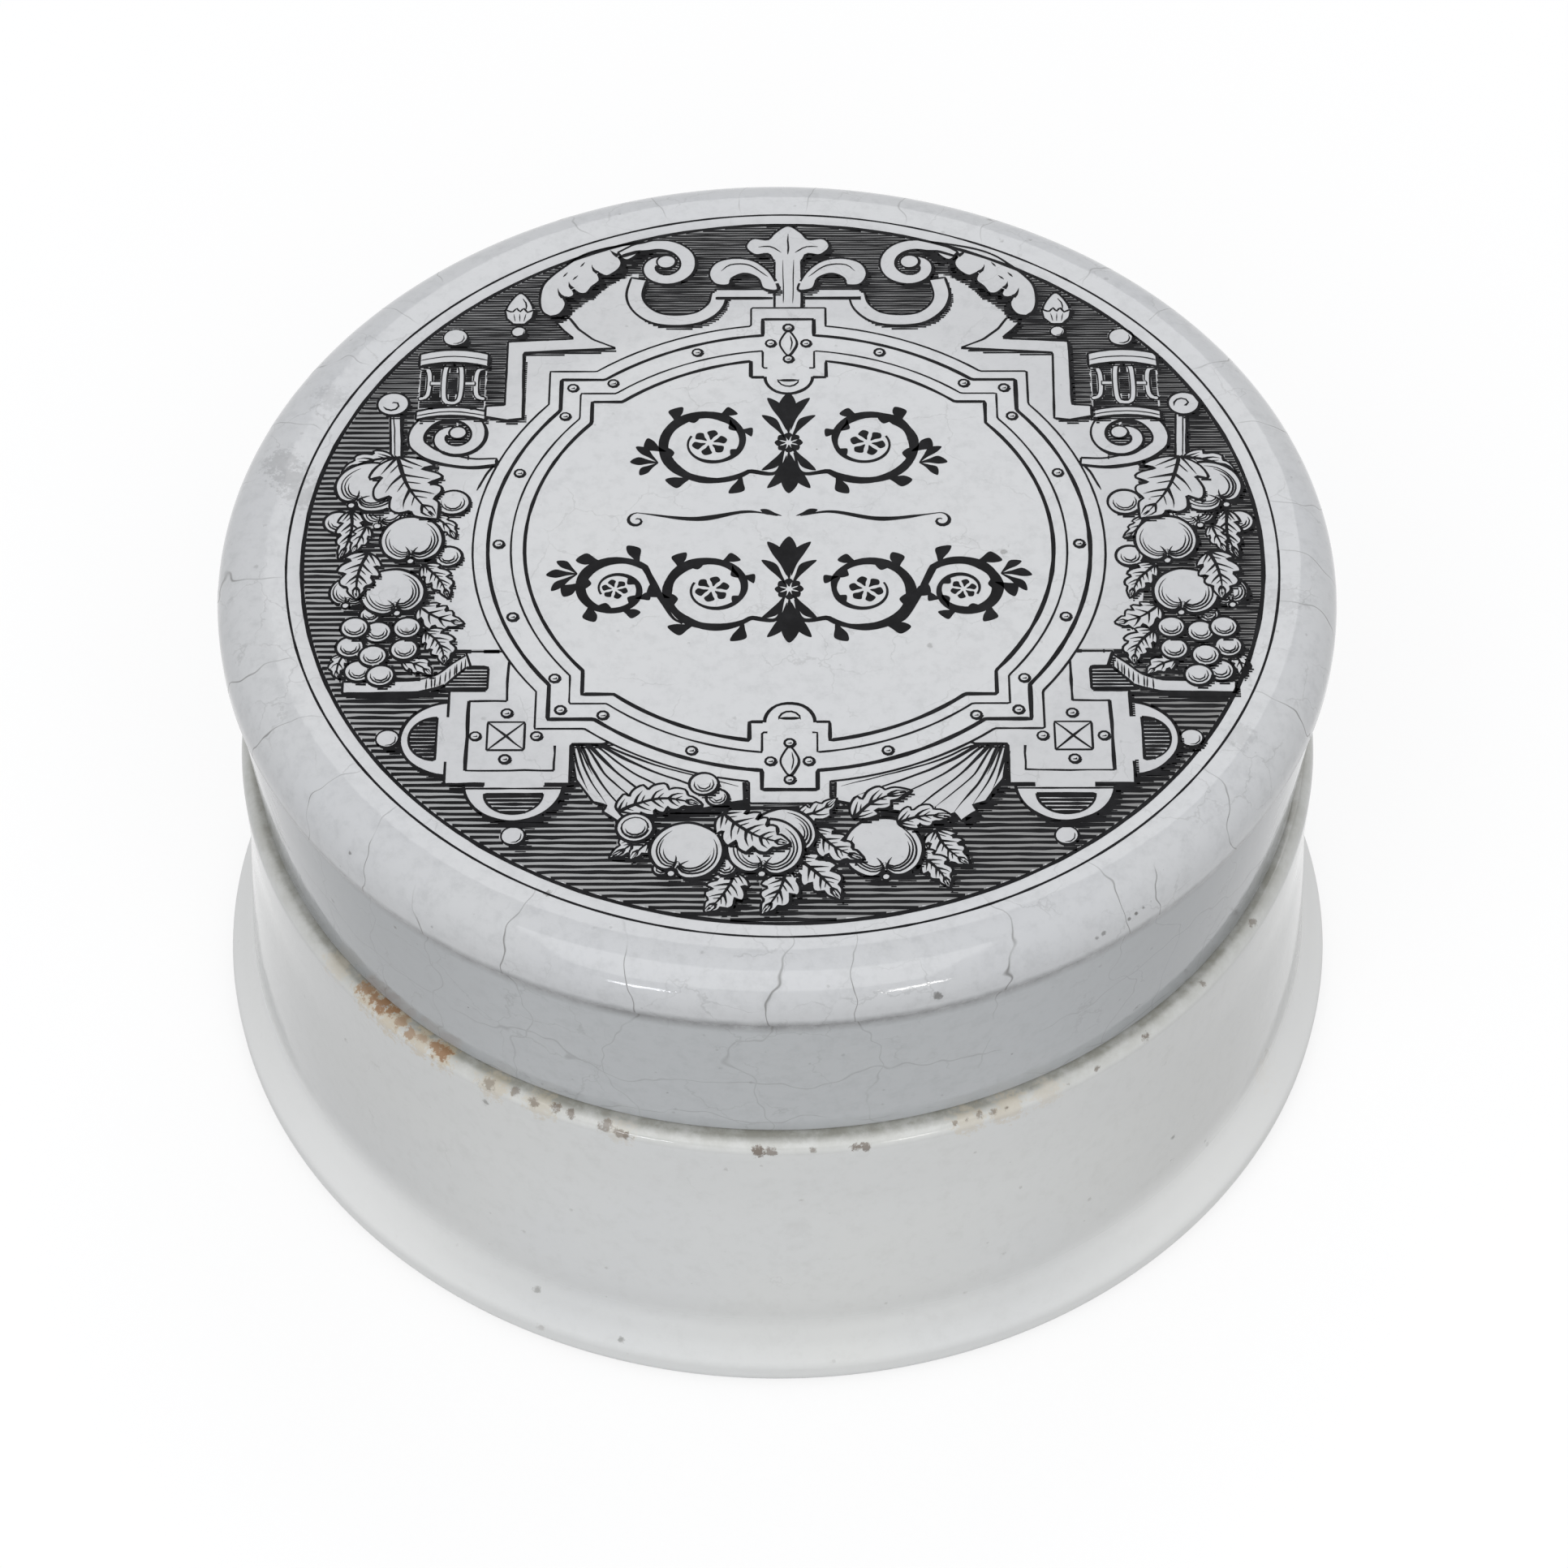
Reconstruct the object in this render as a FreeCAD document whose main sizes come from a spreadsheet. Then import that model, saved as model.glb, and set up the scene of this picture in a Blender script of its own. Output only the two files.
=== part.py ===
import FreeCAD, Part

import os
import Sketcher

# A straight-sided earthenware pot and its loose lid, both turned about the Z axis.
# The origin is the centre of the circle that the foot stands on; +Z is up.
# Each sub-part is one body: an outside turned from a profile, hollows turned out
# of it, and edges rounded or bevelled the way a thick glaze softens them.

# Driving sizes in millimetres. Radii grow outwards from the neck, because the lid
# fits the neck and the pot's ledge carries the lid; heights grow upwards from 0.
SIZES = [
    ("neck_radius", 33.4, "outside radius of the neck that the lid goes over"),
    ("neck_wall", 3.0, "wall of the neck, and of the well below it"),
    ("lid_clearance", 0.9, "radial play between the neck and the lid"),
    ("skirt_wall", 3.2, "wall of the lid's skirt at its lower rim"),
    ("ledge_show", 1.2, "width of ledge left bare outside the lid"),
    ("wall_spread", 0.7, "how far the wall leans out from shoulder to foot"),
    ("foot_flare", 1.9, "how far the foot stands out from the wall"),
    ("foot_band", 2.3, "height of the foot's upright edge"),
    ("cove_height", 3.2, "height of the cove from the foot up to the wall"),
    ("ledge_height", 24.9, "height of the ledge that the lid rests on"),
    ("neck_height", 8.1, "height of the neck above the ledge"),
    ("floor_thickness", 4.2, "thickness of the pot's floor"),
    ("foot_recess", 1.6, "depth of the hollow under the floor"),
    ("foot_ring", 4.8, "width of the ring that the pot stands on"),
    ("crown_gap", 5.2, "free height between the neck's rim and the lid"),
    ("crown_thickness", 4.4, "thickness of the lid's flat top"),
    ("edge_overhang", 1.5, "how far the lid's edge stands out from its lower rim"),
    ("edge_round", 3.3, "radius of the lid's rounded upper edge"),
    ("edge_band", 0.8, "height of the upright band below the rounded edge"),
    ("crease_step", 0.35, "step in from the lid's edge to the skirt's top"),
    ("crease_drop", 0.3, "height of the slope from the edge in to the skirt"),
    ("well_turn", 3.4, "long side of the two slopes that turn from wall to floor"),
    ("well_ease", 1.4, "short side of the same two slopes"),
    ("cove_corner", 3.0, "hollow corner between the foot and the wall"),
    ("band_round", 1.1, "rounded edge on top of the foot band"),
    ("foot_bevel", 1.1, "bevel under the foot, outside"),
    ("ring_bevel", 0.5, "bevel under the foot, inside its ring"),
    ("shoulder_bevel", 0.7, "bevel on the edge of the ledge"),
    ("rim_bevel", 0.9, "bevels of the neck's rim"),
    ("skirt_bevel", 0.5, "bevels of the lid's lower rim"),
    ("ceiling_bevel", 1.6, "sloping corner inside the lid"),
]

TOUCH = 1e-4  # two edges this close, in millimetres, are the same edge


class Length:
    """A length in millimetres, with the formula that ties it to the sheet."""

    def __init__(self, value, formula):
        self.value = value
        self.formula = formula

    def __add__(self, other):
        return Length(self.value + other.value, f"({self.formula} + {other.formula})")

    def __sub__(self, other):
        return Length(self.value - other.value, f"({self.formula} - {other.formula})")


NONE = Length(0.0, "0")


def make_sheet(doc):
    """Write the driving sizes in a sheet and return them by name."""
    sheet = doc.addObject("Spreadsheet::Sheet", "Sizes")
    lengths = {}
    for row, (name, value, meaning) in enumerate(SIZES, start=1):
        sheet.set(f"A{row}", name)
        sheet.set(f"B{row}", str(value))
        sheet.set(f"C{row}", meaning)
        sheet.setAlias(f"B{row}", name)
        lengths[name] = Length(value, f"Sizes.{name}")
    doc.recompute()
    return lengths


def make_body(doc, name):
    """Start a sub-part whose label names its file."""
    body = doc.addObject("PartDesign::Body", name)
    body.Label = name
    body.Placement = FreeCAD.Placement()
    return body


def origin_plane(body, role):
    """Find one of the body's own origin planes."""
    for feature in body.Origin.OriginFeatures:
        if feature.Role == role:
            return feature
    raise ValueError(f"{body.Label} has no {role}")


def pin_point(sketch, line, radius, height):
    """Tie the start of a profile's line to its radius and height."""
    for kind, length, axis in (("DistanceX", radius, -2), ("DistanceY", height, -1)):
        if length is NONE:
            sketch.addConstraint(Sketcher.Constraint("PointOnObject", line, 1, axis))
        else:
            rule = Sketcher.Constraint(kind, -1, 1, line, 1, length.value)
            place = sketch.addConstraint(rule)
            sketch.setExpression(f"Constraints[{place}]", length.formula)


def profile(body, name, corners):
    """Draw a closed profile of (radius, height) corners in the XZ plane."""
    sketch = body.newObject("Sketcher::SketchObject", name)
    sketch.AttachmentSupport = (origin_plane(body, "XZ_Plane"), "")
    sketch.MapMode = "FlatFace"
    points = [FreeCAD.Vector(radius.value, height.value, 0) for radius, height in corners]
    for index, point in enumerate(points):
        follower = (index + 1) % len(points)
        sketch.addGeometry(Part.LineSegment(point, points[follower]))
    for index, (radius, height) in enumerate(corners):
        follower = (index + 1) % len(corners)
        sketch.addConstraint(Sketcher.Constraint("Coincident", index, 2, follower, 1))
        pin_point(sketch, index, radius, height)
    return sketch


def turn(body, kind, name, corners):
    """Turn a profile once round the Z axis, as solid or as a hollow."""
    sketch = profile(body, f"{name}_profile", corners)
    feature = body.newObject(f"PartDesign::{kind}", name)
    feature.Profile = sketch
    feature.ReferenceAxis = (sketch, ["V_Axis"])
    feature.Angle = 360
    sketch.Visibility = False
    body.Document.recompute()
    return feature


def circular_edges(shape, places):
    """Name the circular edges that lie at these radii and heights."""
    names = []
    for radius, height in places:
        found = [
            f"Edge{number}"
            for number, edge in enumerate(shape.Edges, start=1)
            if isinstance(edge.Curve, Part.Circle)
            and abs(edge.Curve.Radius - radius.value) < TOUCH
            and abs(edge.Curve.Center.z - height.value) < TOUCH
        ]
        if not found:
            raise ValueError(f"no edge at radius {radius.value}, height {height.value}")
        names += found
    return names


def dress(body, kind, size_name, size, name, places):
    """Round or bevel the body's circular edges at these places."""
    base = body.Tip
    feature = body.newObject(f"PartDesign::{kind}", name)
    feature.Base = (base, circular_edges(base.Shape, places))
    feature.setExpression(size_name, size.formula)
    body.Document.recompute()
    return feature


def round_off(body, name, radius, places):
    return dress(body, "Fillet", "Radius", radius, name, places)


def bevel(body, name, width, places):
    return dress(body, "Chamfer", "Size", width, name, places)


def make_pot(doc, of):
    """The pot: foot, cove, wall, ledge, neck and round-cornered well."""
    body = make_body(doc, "pot")
    skirt_radius = of["neck_radius"] + of["lid_clearance"] + of["skirt_wall"]
    shoulder_radius = skirt_radius + of["ledge_show"]
    wall_radius = shoulder_radius + of["wall_spread"]
    foot_radius = wall_radius + of["foot_flare"]
    ring_radius = foot_radius - of["foot_ring"]
    wall_start = of["foot_band"] + of["cove_height"]
    ledge = of["ledge_height"]
    rim = ledge + of["neck_height"]
    well_radius = of["neck_radius"] - of["neck_wall"]
    well_floor = of["foot_recess"] + of["floor_thickness"]
    corner_radius = well_radius - of["well_ease"]
    corner_height = well_floor + of["well_ease"]

    turn(body, "Revolution", "outside", [
        (NONE, NONE),
        (foot_radius, NONE),
        (foot_radius, of["foot_band"]),
        (wall_radius, wall_start),
        (shoulder_radius, ledge),
        (of["neck_radius"], ledge),
        (of["neck_radius"], rim),
        (NONE, rim),
    ])
    turn(body, "Groove", "well", [
        (NONE, well_floor),
        (corner_radius - of["well_turn"], well_floor),
        (corner_radius, corner_height),
        (well_radius, corner_height + of["well_turn"]),
        (well_radius, rim),
        (NONE, rim),
    ])
    turn(body, "Groove", "underside", [
        (NONE, NONE),
        (ring_radius, NONE),
        (ring_radius, of["foot_recess"]),
        (NONE, of["foot_recess"]),
    ])
    round_off(body, "cove_corner", of["cove_corner"], [(wall_radius, wall_start)])
    round_off(body, "band_round", of["band_round"], [(foot_radius, of["foot_band"])])
    bevel(body, "foot_bevel", of["foot_bevel"], [(foot_radius, NONE)])
    bevel(body, "ring_bevel", of["ring_bevel"], [(ring_radius, NONE)])
    bevel(body, "shoulder_bevel", of["shoulder_bevel"], [(shoulder_radius, ledge)])
    bevel(body, "rim_bevel", of["rim_bevel"], [
        (of["neck_radius"], rim),
        (well_radius, rim),
    ])
    return body


def make_lid(doc, of):
    """The lid: flat crown, rounded overhanging edge, and a skirt over the neck."""
    body = make_body(doc, "lid")
    hollow_radius = of["neck_radius"] + of["lid_clearance"]
    skirt_radius = hollow_radius + of["skirt_wall"]
    edge_radius = skirt_radius + of["edge_overhang"]
    seat = of["ledge_height"]
    ceiling = seat + of["neck_height"] + of["crown_gap"]
    top = ceiling + of["crown_thickness"]
    lip = top - of["edge_round"] - of["edge_band"]

    turn(body, "Revolution", "outside", [
        (NONE, seat),
        (skirt_radius, seat),
        (edge_radius - of["crease_step"], lip - of["crease_drop"]),
        (edge_radius, lip),
        (edge_radius, top),
        (NONE, top),
    ])
    turn(body, "Groove", "hollow", [
        (NONE, seat),
        (hollow_radius, seat),
        (hollow_radius, ceiling),
        (NONE, ceiling),
    ])
    round_off(body, "edge_round", of["edge_round"], [(edge_radius, top)])
    bevel(body, "ceiling_bevel", of["ceiling_bevel"], [(hollow_radius, ceiling)])
    bevel(body, "skirt_bevel", of["skirt_bevel"], [
        (skirt_radius, seat),
        (hollow_radius, seat),
    ])
    return body


def check(doc, bodies):
    """Stop unless every object came out whole and every sub-part is one solid."""
    for thing in doc.Objects:
        if "Invalid" in thing.State or "Error" in thing.State:
            raise RuntimeError(f"{thing.Label} is {thing.State}")
    for body in bodies:
        shape = body.Shape
        if shape.isNull() or not shape.isValid() or len(shape.Solids) != 1:
            raise RuntimeError(f"{body.Label} is not one valid solid")


def main():
    doc = FreeCAD.newDocument("OintmentPot")
    of = make_sheet(doc)
    bodies = [make_pot(doc, of), make_lid(doc, of)]
    doc.recompute()
    check(doc, bodies)
    os.makedirs("parts", exist_ok=True)
    for body in bodies:
        body.Shape.exportStep(f"parts/{body.Label}.step")
        box = body.Shape.optimalBoundingBox(False)
        print(f"{body.Label}: {box.XLength:.2f} wide, z {box.ZMin:.2f} to {box.ZMax:.2f}")


main()
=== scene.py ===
import math

import bpy
import numpy as np
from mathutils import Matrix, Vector


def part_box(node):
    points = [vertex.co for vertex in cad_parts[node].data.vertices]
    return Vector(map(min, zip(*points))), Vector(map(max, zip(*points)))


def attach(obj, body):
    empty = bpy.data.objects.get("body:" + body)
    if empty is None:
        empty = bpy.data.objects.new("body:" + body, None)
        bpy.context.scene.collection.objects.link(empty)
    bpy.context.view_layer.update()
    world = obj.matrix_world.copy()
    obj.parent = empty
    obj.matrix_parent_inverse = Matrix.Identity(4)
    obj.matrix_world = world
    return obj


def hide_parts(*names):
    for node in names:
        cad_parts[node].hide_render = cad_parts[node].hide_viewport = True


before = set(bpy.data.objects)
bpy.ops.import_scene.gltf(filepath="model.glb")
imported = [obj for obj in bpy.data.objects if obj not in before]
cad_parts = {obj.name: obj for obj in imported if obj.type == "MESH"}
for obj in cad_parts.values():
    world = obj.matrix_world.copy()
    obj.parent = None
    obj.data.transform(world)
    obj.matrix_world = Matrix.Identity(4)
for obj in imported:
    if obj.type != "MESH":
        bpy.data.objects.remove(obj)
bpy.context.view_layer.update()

# Sizes of the turned shapes, in millimetres. Heights and radii that the frame gives
# are read from it; the roundings below are the soft ones of a thick glaze.

MM = 0.001
POT_LOW, POT_HIGH = (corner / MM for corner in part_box("pot"))
LID_LOW, LID_HIGH = (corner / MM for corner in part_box("lid"))
LEDGE = LID_LOW.z
RIM = POT_HIGH.z
LID_TOP = LID_HIGH.z
FOOT_RADIUS = POT_HIGH.x
LID_RADIUS = LID_HIGH.x

WALL_RADIUS = FOOT_RADIUS - 1.9
SHOULDER_RADIUS = WALL_RADIUS - 0.7
SKIRT_RADIUS = SHOULDER_RADIUS - 1.2
HOLLOW_RADIUS = SKIRT_RADIUS - 3.2
NECK_RADIUS = HOLLOW_RADIUS - 0.9
WELL_RADIUS = NECK_RADIUS - 3.0
RING_RADIUS = FOOT_RADIUS - 4.8
RECESS = 1.6
WELL_FLOOR = 5.8
CEILING = LID_TOP - 4.4
LIP = LID_TOP - 4.1

POT_SPOKES = 288
LID_SPOKES = 360
PROFILE_STEP = 0.55


# Curves in the plane

def circle_arc(centre, radius, start, end, step=6.0):
    """Points on a circle from start to end, in degrees."""
    count = max(3, int(abs(end - start) / step) + 2)
    turn = np.radians(np.linspace(start, end, count))
    return np.stack([centre[0] + radius * np.cos(turn), centre[1] + radius * np.sin(turn)], 1)


def disc(centre, radius, step):
    """A whole circle, left open by one step."""
    return circle_arc(centre, radius, 0, 350, step)


def smooth(points, closed=False, per_span=8):
    """A Catmull-Rom curve through the points."""
    given = np.asarray(points, float)
    if closed:
        given = np.vstack([given[-1:], given, given[:2]])
    else:
        given = np.vstack([2 * given[0] - given[1], given, 2 * given[-1] - given[-2]])
    t = np.linspace(0, 1, per_span, endpoint=False)[:, None]
    spans = []
    for a, b, c, d in zip(given, given[1:], given[2:], given[3:]):
        spans.append(0.5 * (2 * b + (c - a) * t + (2 * a - 5 * b + 4 * c - d) * t**2
                            + (3 * b - a - 3 * c + d) * t**3))
    if not closed:
        spans.append(given[-2:-1])
    return np.vstack(spans)


def spaced(points, step, closed=False):
    """The same line with points a steady step apart."""
    line = np.asarray(points, float)
    if closed:
        line = np.vstack([line, line[:1]])
    lengths = np.hypot(*np.diff(line, axis=0).T)
    run = np.concatenate([[0.0], np.cumsum(lengths)])
    count = max(2, int(round(run[-1] / step)) + 1)
    place = np.linspace(0, run[-1], count)
    return np.stack([np.interp(place, run, line[:, k]) for k in (0, 1)], 1)


def directions(line):
    """The unit vector ahead at each point of a line."""
    ahead = np.gradient(line, axis=0)
    return ahead / np.maximum(np.hypot(*ahead.T), 1e-9)[:, None]


def normals(line):
    """The unit vector to the left at each point of a line."""
    ahead = directions(line)
    return np.stack([-ahead[:, 1], ahead[:, 0]], 1)


def spread(widths, count):
    """One width or several, spread evenly along a line of so many points."""
    given = np.atleast_1d(widths)
    return np.interp(np.linspace(0, 1, count), np.linspace(0, 1, len(given)), given)


def spin(turn):
    """The matrix that turns points anticlockwise, by an angle in radians."""
    cos, sin = math.cos(turn), math.sin(turn)
    return np.array([[cos, sin], [-sin, cos]])


def turning(line):
    """1 for an anticlockwise closed line, -1 for a clockwise one."""
    x, y = line.T
    return 1.0 if np.sum(x * np.roll(y, -1) - y * np.roll(x, -1)) > 0 else -1.0


def inside(points, outline):
    """Which points lie inside a closed outline, by counting crossings."""
    x, y = points[:, 0], points[:, 1]
    hit = np.zeros(len(points), bool)
    follower = np.roll(outline, -1, axis=0)
    for (ax, ay), (bx, by) in zip(outline, follower):
        if ay == by:
            continue
        crosses = (ay > y) != (by > y)
        hit ^= crosses & (x < (bx - ax) * (y - ay) / (by - ay) + ax)
    return hit


# The engraving: strokes of ink, and paper cut-outs that hide the strokes laid before them

INK_STEP = 0.12
INK_PROUD = 0.012
INK_DEEP = 0.03
INK_LIFT = 0.0005
INK_LIFTS = 12
DRIFT_LENGTH = 1.1
SHADOW_FALL = np.array([0.55, -0.8])


class Engraving:
    """Ink strokes and black shapes on a flat plate, in millimetres."""

    def __init__(self, seed):
        self.chance = np.random.default_rng(seed)
        self.level = 0
        self.papers = []
        self.strokes = []
        self.blacks = []

    def paper(self, outline):
        """Leave bare paper inside an outline, over everything laid before."""
        self.level += 1
        outline = np.asarray(outline, float)
        self.papers.append((self.level, outline, outline.min(0), outline.max(0)))

    def stroke(self, points, width, taper=(0.35, 0.35), keep=0.35, wobble=0.02):
        """Lay a line of ink that thins towards its ends and wavers a little."""
        line = spaced(points, INK_STEP)
        along = np.linspace(0, 1, len(line))
        reach = len(line) * INK_STEP
        thin = np.ones(len(line))
        for distance, side in zip(taper, (along, 1 - along)):
            if distance > 0:
                thin = np.minimum(thin, 0.25 + 0.75 * np.clip(side * reach / distance, 0, 1))
        line = line + normals(line) * self.waver(len(line), wobble)[:, None]
        widths = spread(width, len(line)) * thin
        self.strokes.append((self.level, line, widths * (1 + self.waver(len(line), 0.12)), keep))

    def waver(self, count, size):
        """A slow random drift along a line."""
        knots = max(2, int(count * INK_STEP / DRIFT_LENGTH) + 2)
        return np.interp(np.linspace(0, 1, count), np.linspace(0, 1, knots),
                         self.chance.normal(0, size, knots))

    def outline(self, points, width, shade=0.8):
        """Ink a closed outline, heavier on its lower right where the shadow falls."""
        line = spaced(points, INK_STEP, closed=True)
        away = -normals(line) * turning(line)
        widths = width * (1 + shade * np.clip(away @ SHADOW_FALL, 0, 1))
        self.strokes.append((self.level, line, widths * (1 + self.waver(len(line), 0.1)), 0.3))

    def shape(self, points, width=0.17, shade=0.8, cast=0.0):
        """A paper shape with an inked outline, and a shadow cast to its lower right."""
        if cast:
            self.shade_lines(np.asarray(points) + SHADOW_FALL * cast, 0.2, 0.15, keep=0.5)
        self.paper(points)
        self.outline(points, width, shade)

    def black(self, points):
        """A solid black shape."""
        self.blacks.append(np.asarray(points, float))

    def shade_lines(self, outline, pitch, width, keep=0.6):
        """Rule level lines inside an outline."""
        outline = np.asarray(outline, float)
        low, high = outline.min(0), outline.max(0)
        for y in np.arange(low[1] + pitch * 0.5, high[1], pitch):
            line = spaced([(low[0] - 0.2, y), (high[0] + 0.2, y)], INK_STEP)
            for run in runs_of(inside(line, outline), 2):
                ruled = line[run]
                self.strokes.append((self.level, ruled, width * (1 + self.waver(len(ruled), 0.15)), keep))

    def visible(self):
        """Every stroke cut to the runs that no later paper hides."""
        lines = np.vstack([line for _, line, _, _ in self.strokes])
        sizes = [len(line) for _, line, _, _ in self.strokes]
        levels = np.repeat([level for level, _, _, _ in self.strokes], sizes)
        shown = np.ones(len(lines), bool)
        for level, outline, low, high in self.papers:
            near = shown & (levels < level) & (lines >= low).all(1) & (lines <= high).all(1)
            places = np.flatnonzero(near)
            shown[places[inside(lines[places], outline)]] = False
        start = 0
        for (_, line, widths, keep), size in zip(self.strokes, sizes):
            for run in runs_of(shown[start:start + size], 2):
                yield line[run], widths[run], keep
            start += size


def runs_of(flags, least):
    """Slices of consecutive true flags that hold at least so many."""
    edges = np.flatnonzero(np.diff(np.concatenate([[0], flags.astype(int), [0]])))
    for first, last in zip(edges[::2], edges[1::2]):
        if last - first >= least:
            yield slice(first, last)


def thinned(line, widths, keep):
    """The same stroke with points about keep apart, and both its ends."""
    step = max(1, int(round(keep / INK_STEP)))
    places = np.unique(np.append(np.arange(0, len(line), step), len(line) - 1))
    return line[places], widths[places]


def new_piece(name, points, faces):
    """A mesh object of this name in the scene."""
    mesh = bpy.data.meshes.new(name)
    mesh.from_pydata(points, [], faces)
    mesh.validate()
    piece = bpy.data.objects.new(name, mesh)
    bpy.context.collection.objects.link(piece)
    return piece


def ink_mesh(name, engraving, height, shift):
    """Turn the strokes and black shapes into beads of ink lying on the plate."""
    points, faces = [], []
    turned = spin(PRINT_TURN)

    def add(flat, level):
        """Lay a row of points. Beads differ a little in height, so that none share a face."""
        lift = len(points) % INK_LIFTS * INK_LIFT if level > height else 0.0
        points.append(np.column_stack([flat @ turned + shift, np.full(len(flat), level + lift)]) * MM)

    count = 0
    for line, widths, keep in engraving.visible():
        line, widths = thinned(line, widths, keep)
        side = normals(line) * (widths[:, None] / 2)
        add(np.vstack([line + side, line - side]), height + INK_PROUD)
        add(line, height - INK_DEEP)
        size = len(line)
        left = count + np.arange(size - 1)
        right, keel = left + size, left + 2 * size
        for a, b in ((left, right), (right, keel), (keel, left)):
            faces.extend(np.column_stack([a, b, b + 1, a + 1]).tolist())
        faces.append([count, count + 2 * size, count + size])
        last = count + size - 1
        faces.append([last, last + size, last + 2 * size])
        count += 3 * size
    for outline in engraving.blacks:
        if turning(outline) < 0:
            outline = outline[::-1]
        add(outline, height + INK_PROUD)
        add(outline, height - INK_DEEP)
        size = len(outline)
        top = count + np.arange(size)
        below = top + size
        faces.append(top.tolist())
        faces.append(below[::-1].tolist())
        faces.extend(np.column_stack([top, below, np.roll(below, -1), np.roll(top, -1)]).tolist())
        count += 2 * size
    return new_piece(name, np.vstack(points).tolist(), faces)


# Strapwork: flat white bands with inked edges

FRAME_INK = 0.17
HAIR = 0.1
WHOLE = (0, 0)


def on_side(sign, *pairs):
    """Points of one side of the print, from the points of its right side."""
    return np.array(pairs, float) * (sign, 1)


def curve_on_side(sign, per_span, *pairs):
    """A smooth line of one side of the print, through points of its right side."""
    return smooth(on_side(sign, *pairs), False, per_span)


def band(path, width):
    """The outline of a band of this width, or of widths that change along it."""
    line = spaced(path, 0.3)
    side = normals(line) * (spread(width, len(line))[:, None] / 2)
    return np.vstack([line + side, (line - side)[::-1]])


def strap(plate, path, width, cast=0.5):
    """A flat band with an inked edge."""
    plate.shape(band(path, width), FRAME_INK, cast=cast)


def spiral(centre, outer, inner, start, turns, hand):
    """A volute's centre line, from outside in."""
    t = np.linspace(0, 1, int(40 * turns))
    radius = inner + (outer - inner) * (1 - t) ** 1.15
    turn = np.radians(start) + hand * t * turns * 2 * math.pi
    return np.stack([centre[0] + radius * np.cos(turn), centre[1] + radius * np.sin(turn)], 1)


def volute(plate, coil, widths, lead=()):
    """A strap that runs in along a lead and rolls up into an eye, dark between its turns."""
    path = np.vstack([np.asarray(lead, float).reshape(-1, 2), coil])
    rolled = coil[len(coil) // 5:]
    plate.paper(rolled)
    plate.shade_lines(rolled, 0.24, 0.19)
    plate.shape(band(path, widths), FRAME_INK, 1.0)
    plate.shape(disc(coil[-1], widths[-1] * 0.8, 20), 0.15, 0.9)


def window(plate, outline, pitch=0.36, width=0.25):
    """An opening through the strapwork, with the dark ground seen in it."""
    plate.shape(outline, 0.2, -0.3)
    plate.shade_lines(outline, pitch, width)


def stud(plate, centre, radius=0.4):
    """A small rivet: an inked circle with a dot of shade."""
    plate.shape(disc(centre, radius, 24), FRAME_INK, 0.7)
    plate.stroke(circle_arc(centre, radius * 0.4, 200, 400, 40), 0.14, (0.1, 0.1))


def ball(plate, centre, radius):
    """A small knob, bright above and dark below."""
    plate.shape(disc(centre, radius, 15), 0.12, 1.6, 0.5)
    plate.stroke(circle_arc(centre, radius * 0.68, 255, 385), HAIR, (0.3, 0.3))


def rectangle(centre, half_width, half_height):
    """A level rectangle, from its middle and half its sides."""
    x, y = centre
    return np.array([(x - half_width, y - half_height), (x + half_width, y - half_height),
                     (x + half_width, y + half_height), (x - half_width, y + half_height)])


def square_jewel(plate, centre):
    """A square jewel cut to a point, with a rivet on each side."""
    x, y = centre
    half, reach = 1.25, 2.05
    plate.shape(rectangle(centre, half, half), 0.15, 0.3)
    for rise in (-1, 1):
        plate.stroke([(x - half, y - half * rise), (x + half, y + half * rise)], (HAIR, 0.2, HAIR), WHOLE)
    for dx, dy in ((-reach, 0), (reach, 0), (0, -reach), (0, reach)):
        stud(plate, (x + dx, y + dy), 0.38)


def pointed_jewel(plate, centre):
    """A tall pointed jewel, with a rivet on each side."""
    x, y = centre
    jewel = smooth([(x, y + 1.3), (x + 0.5, y + 0.5), (x + 0.62, y), (x + 0.5, y - 0.5), (x, y - 1.3),
                    (x - 0.5, y - 0.5), (x - 0.62, y), (x - 0.5, y + 0.5)], True, 4)
    plate.shape(jewel, 0.14, 0.8)
    plate.stroke([(x + 0.12, y + 0.8), (x + 0.3, y), (x + 0.12, y - 0.8)], HAIR, (0.3, 0.3))
    for dx, dy in ((-1.28, 0), (1.28, 0), (0, -1.62), (0, 1.62)):
        stud(plate, (x + dx, y + dy), 0.36)


# Fruit and leaves

LEAF_LOBE = ((0.12, 0.74), (0.4, 1.0), (0.72, 1.12), (0.97, 1.08), (1.02, 0.66))
LEAF_VEIN = ((0.05, 0.0), (0.4, 0.42), (0.82, 0.74))
LEAF_HAIR = ((0.5, 0.05), (0.85, 0.4))


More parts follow.
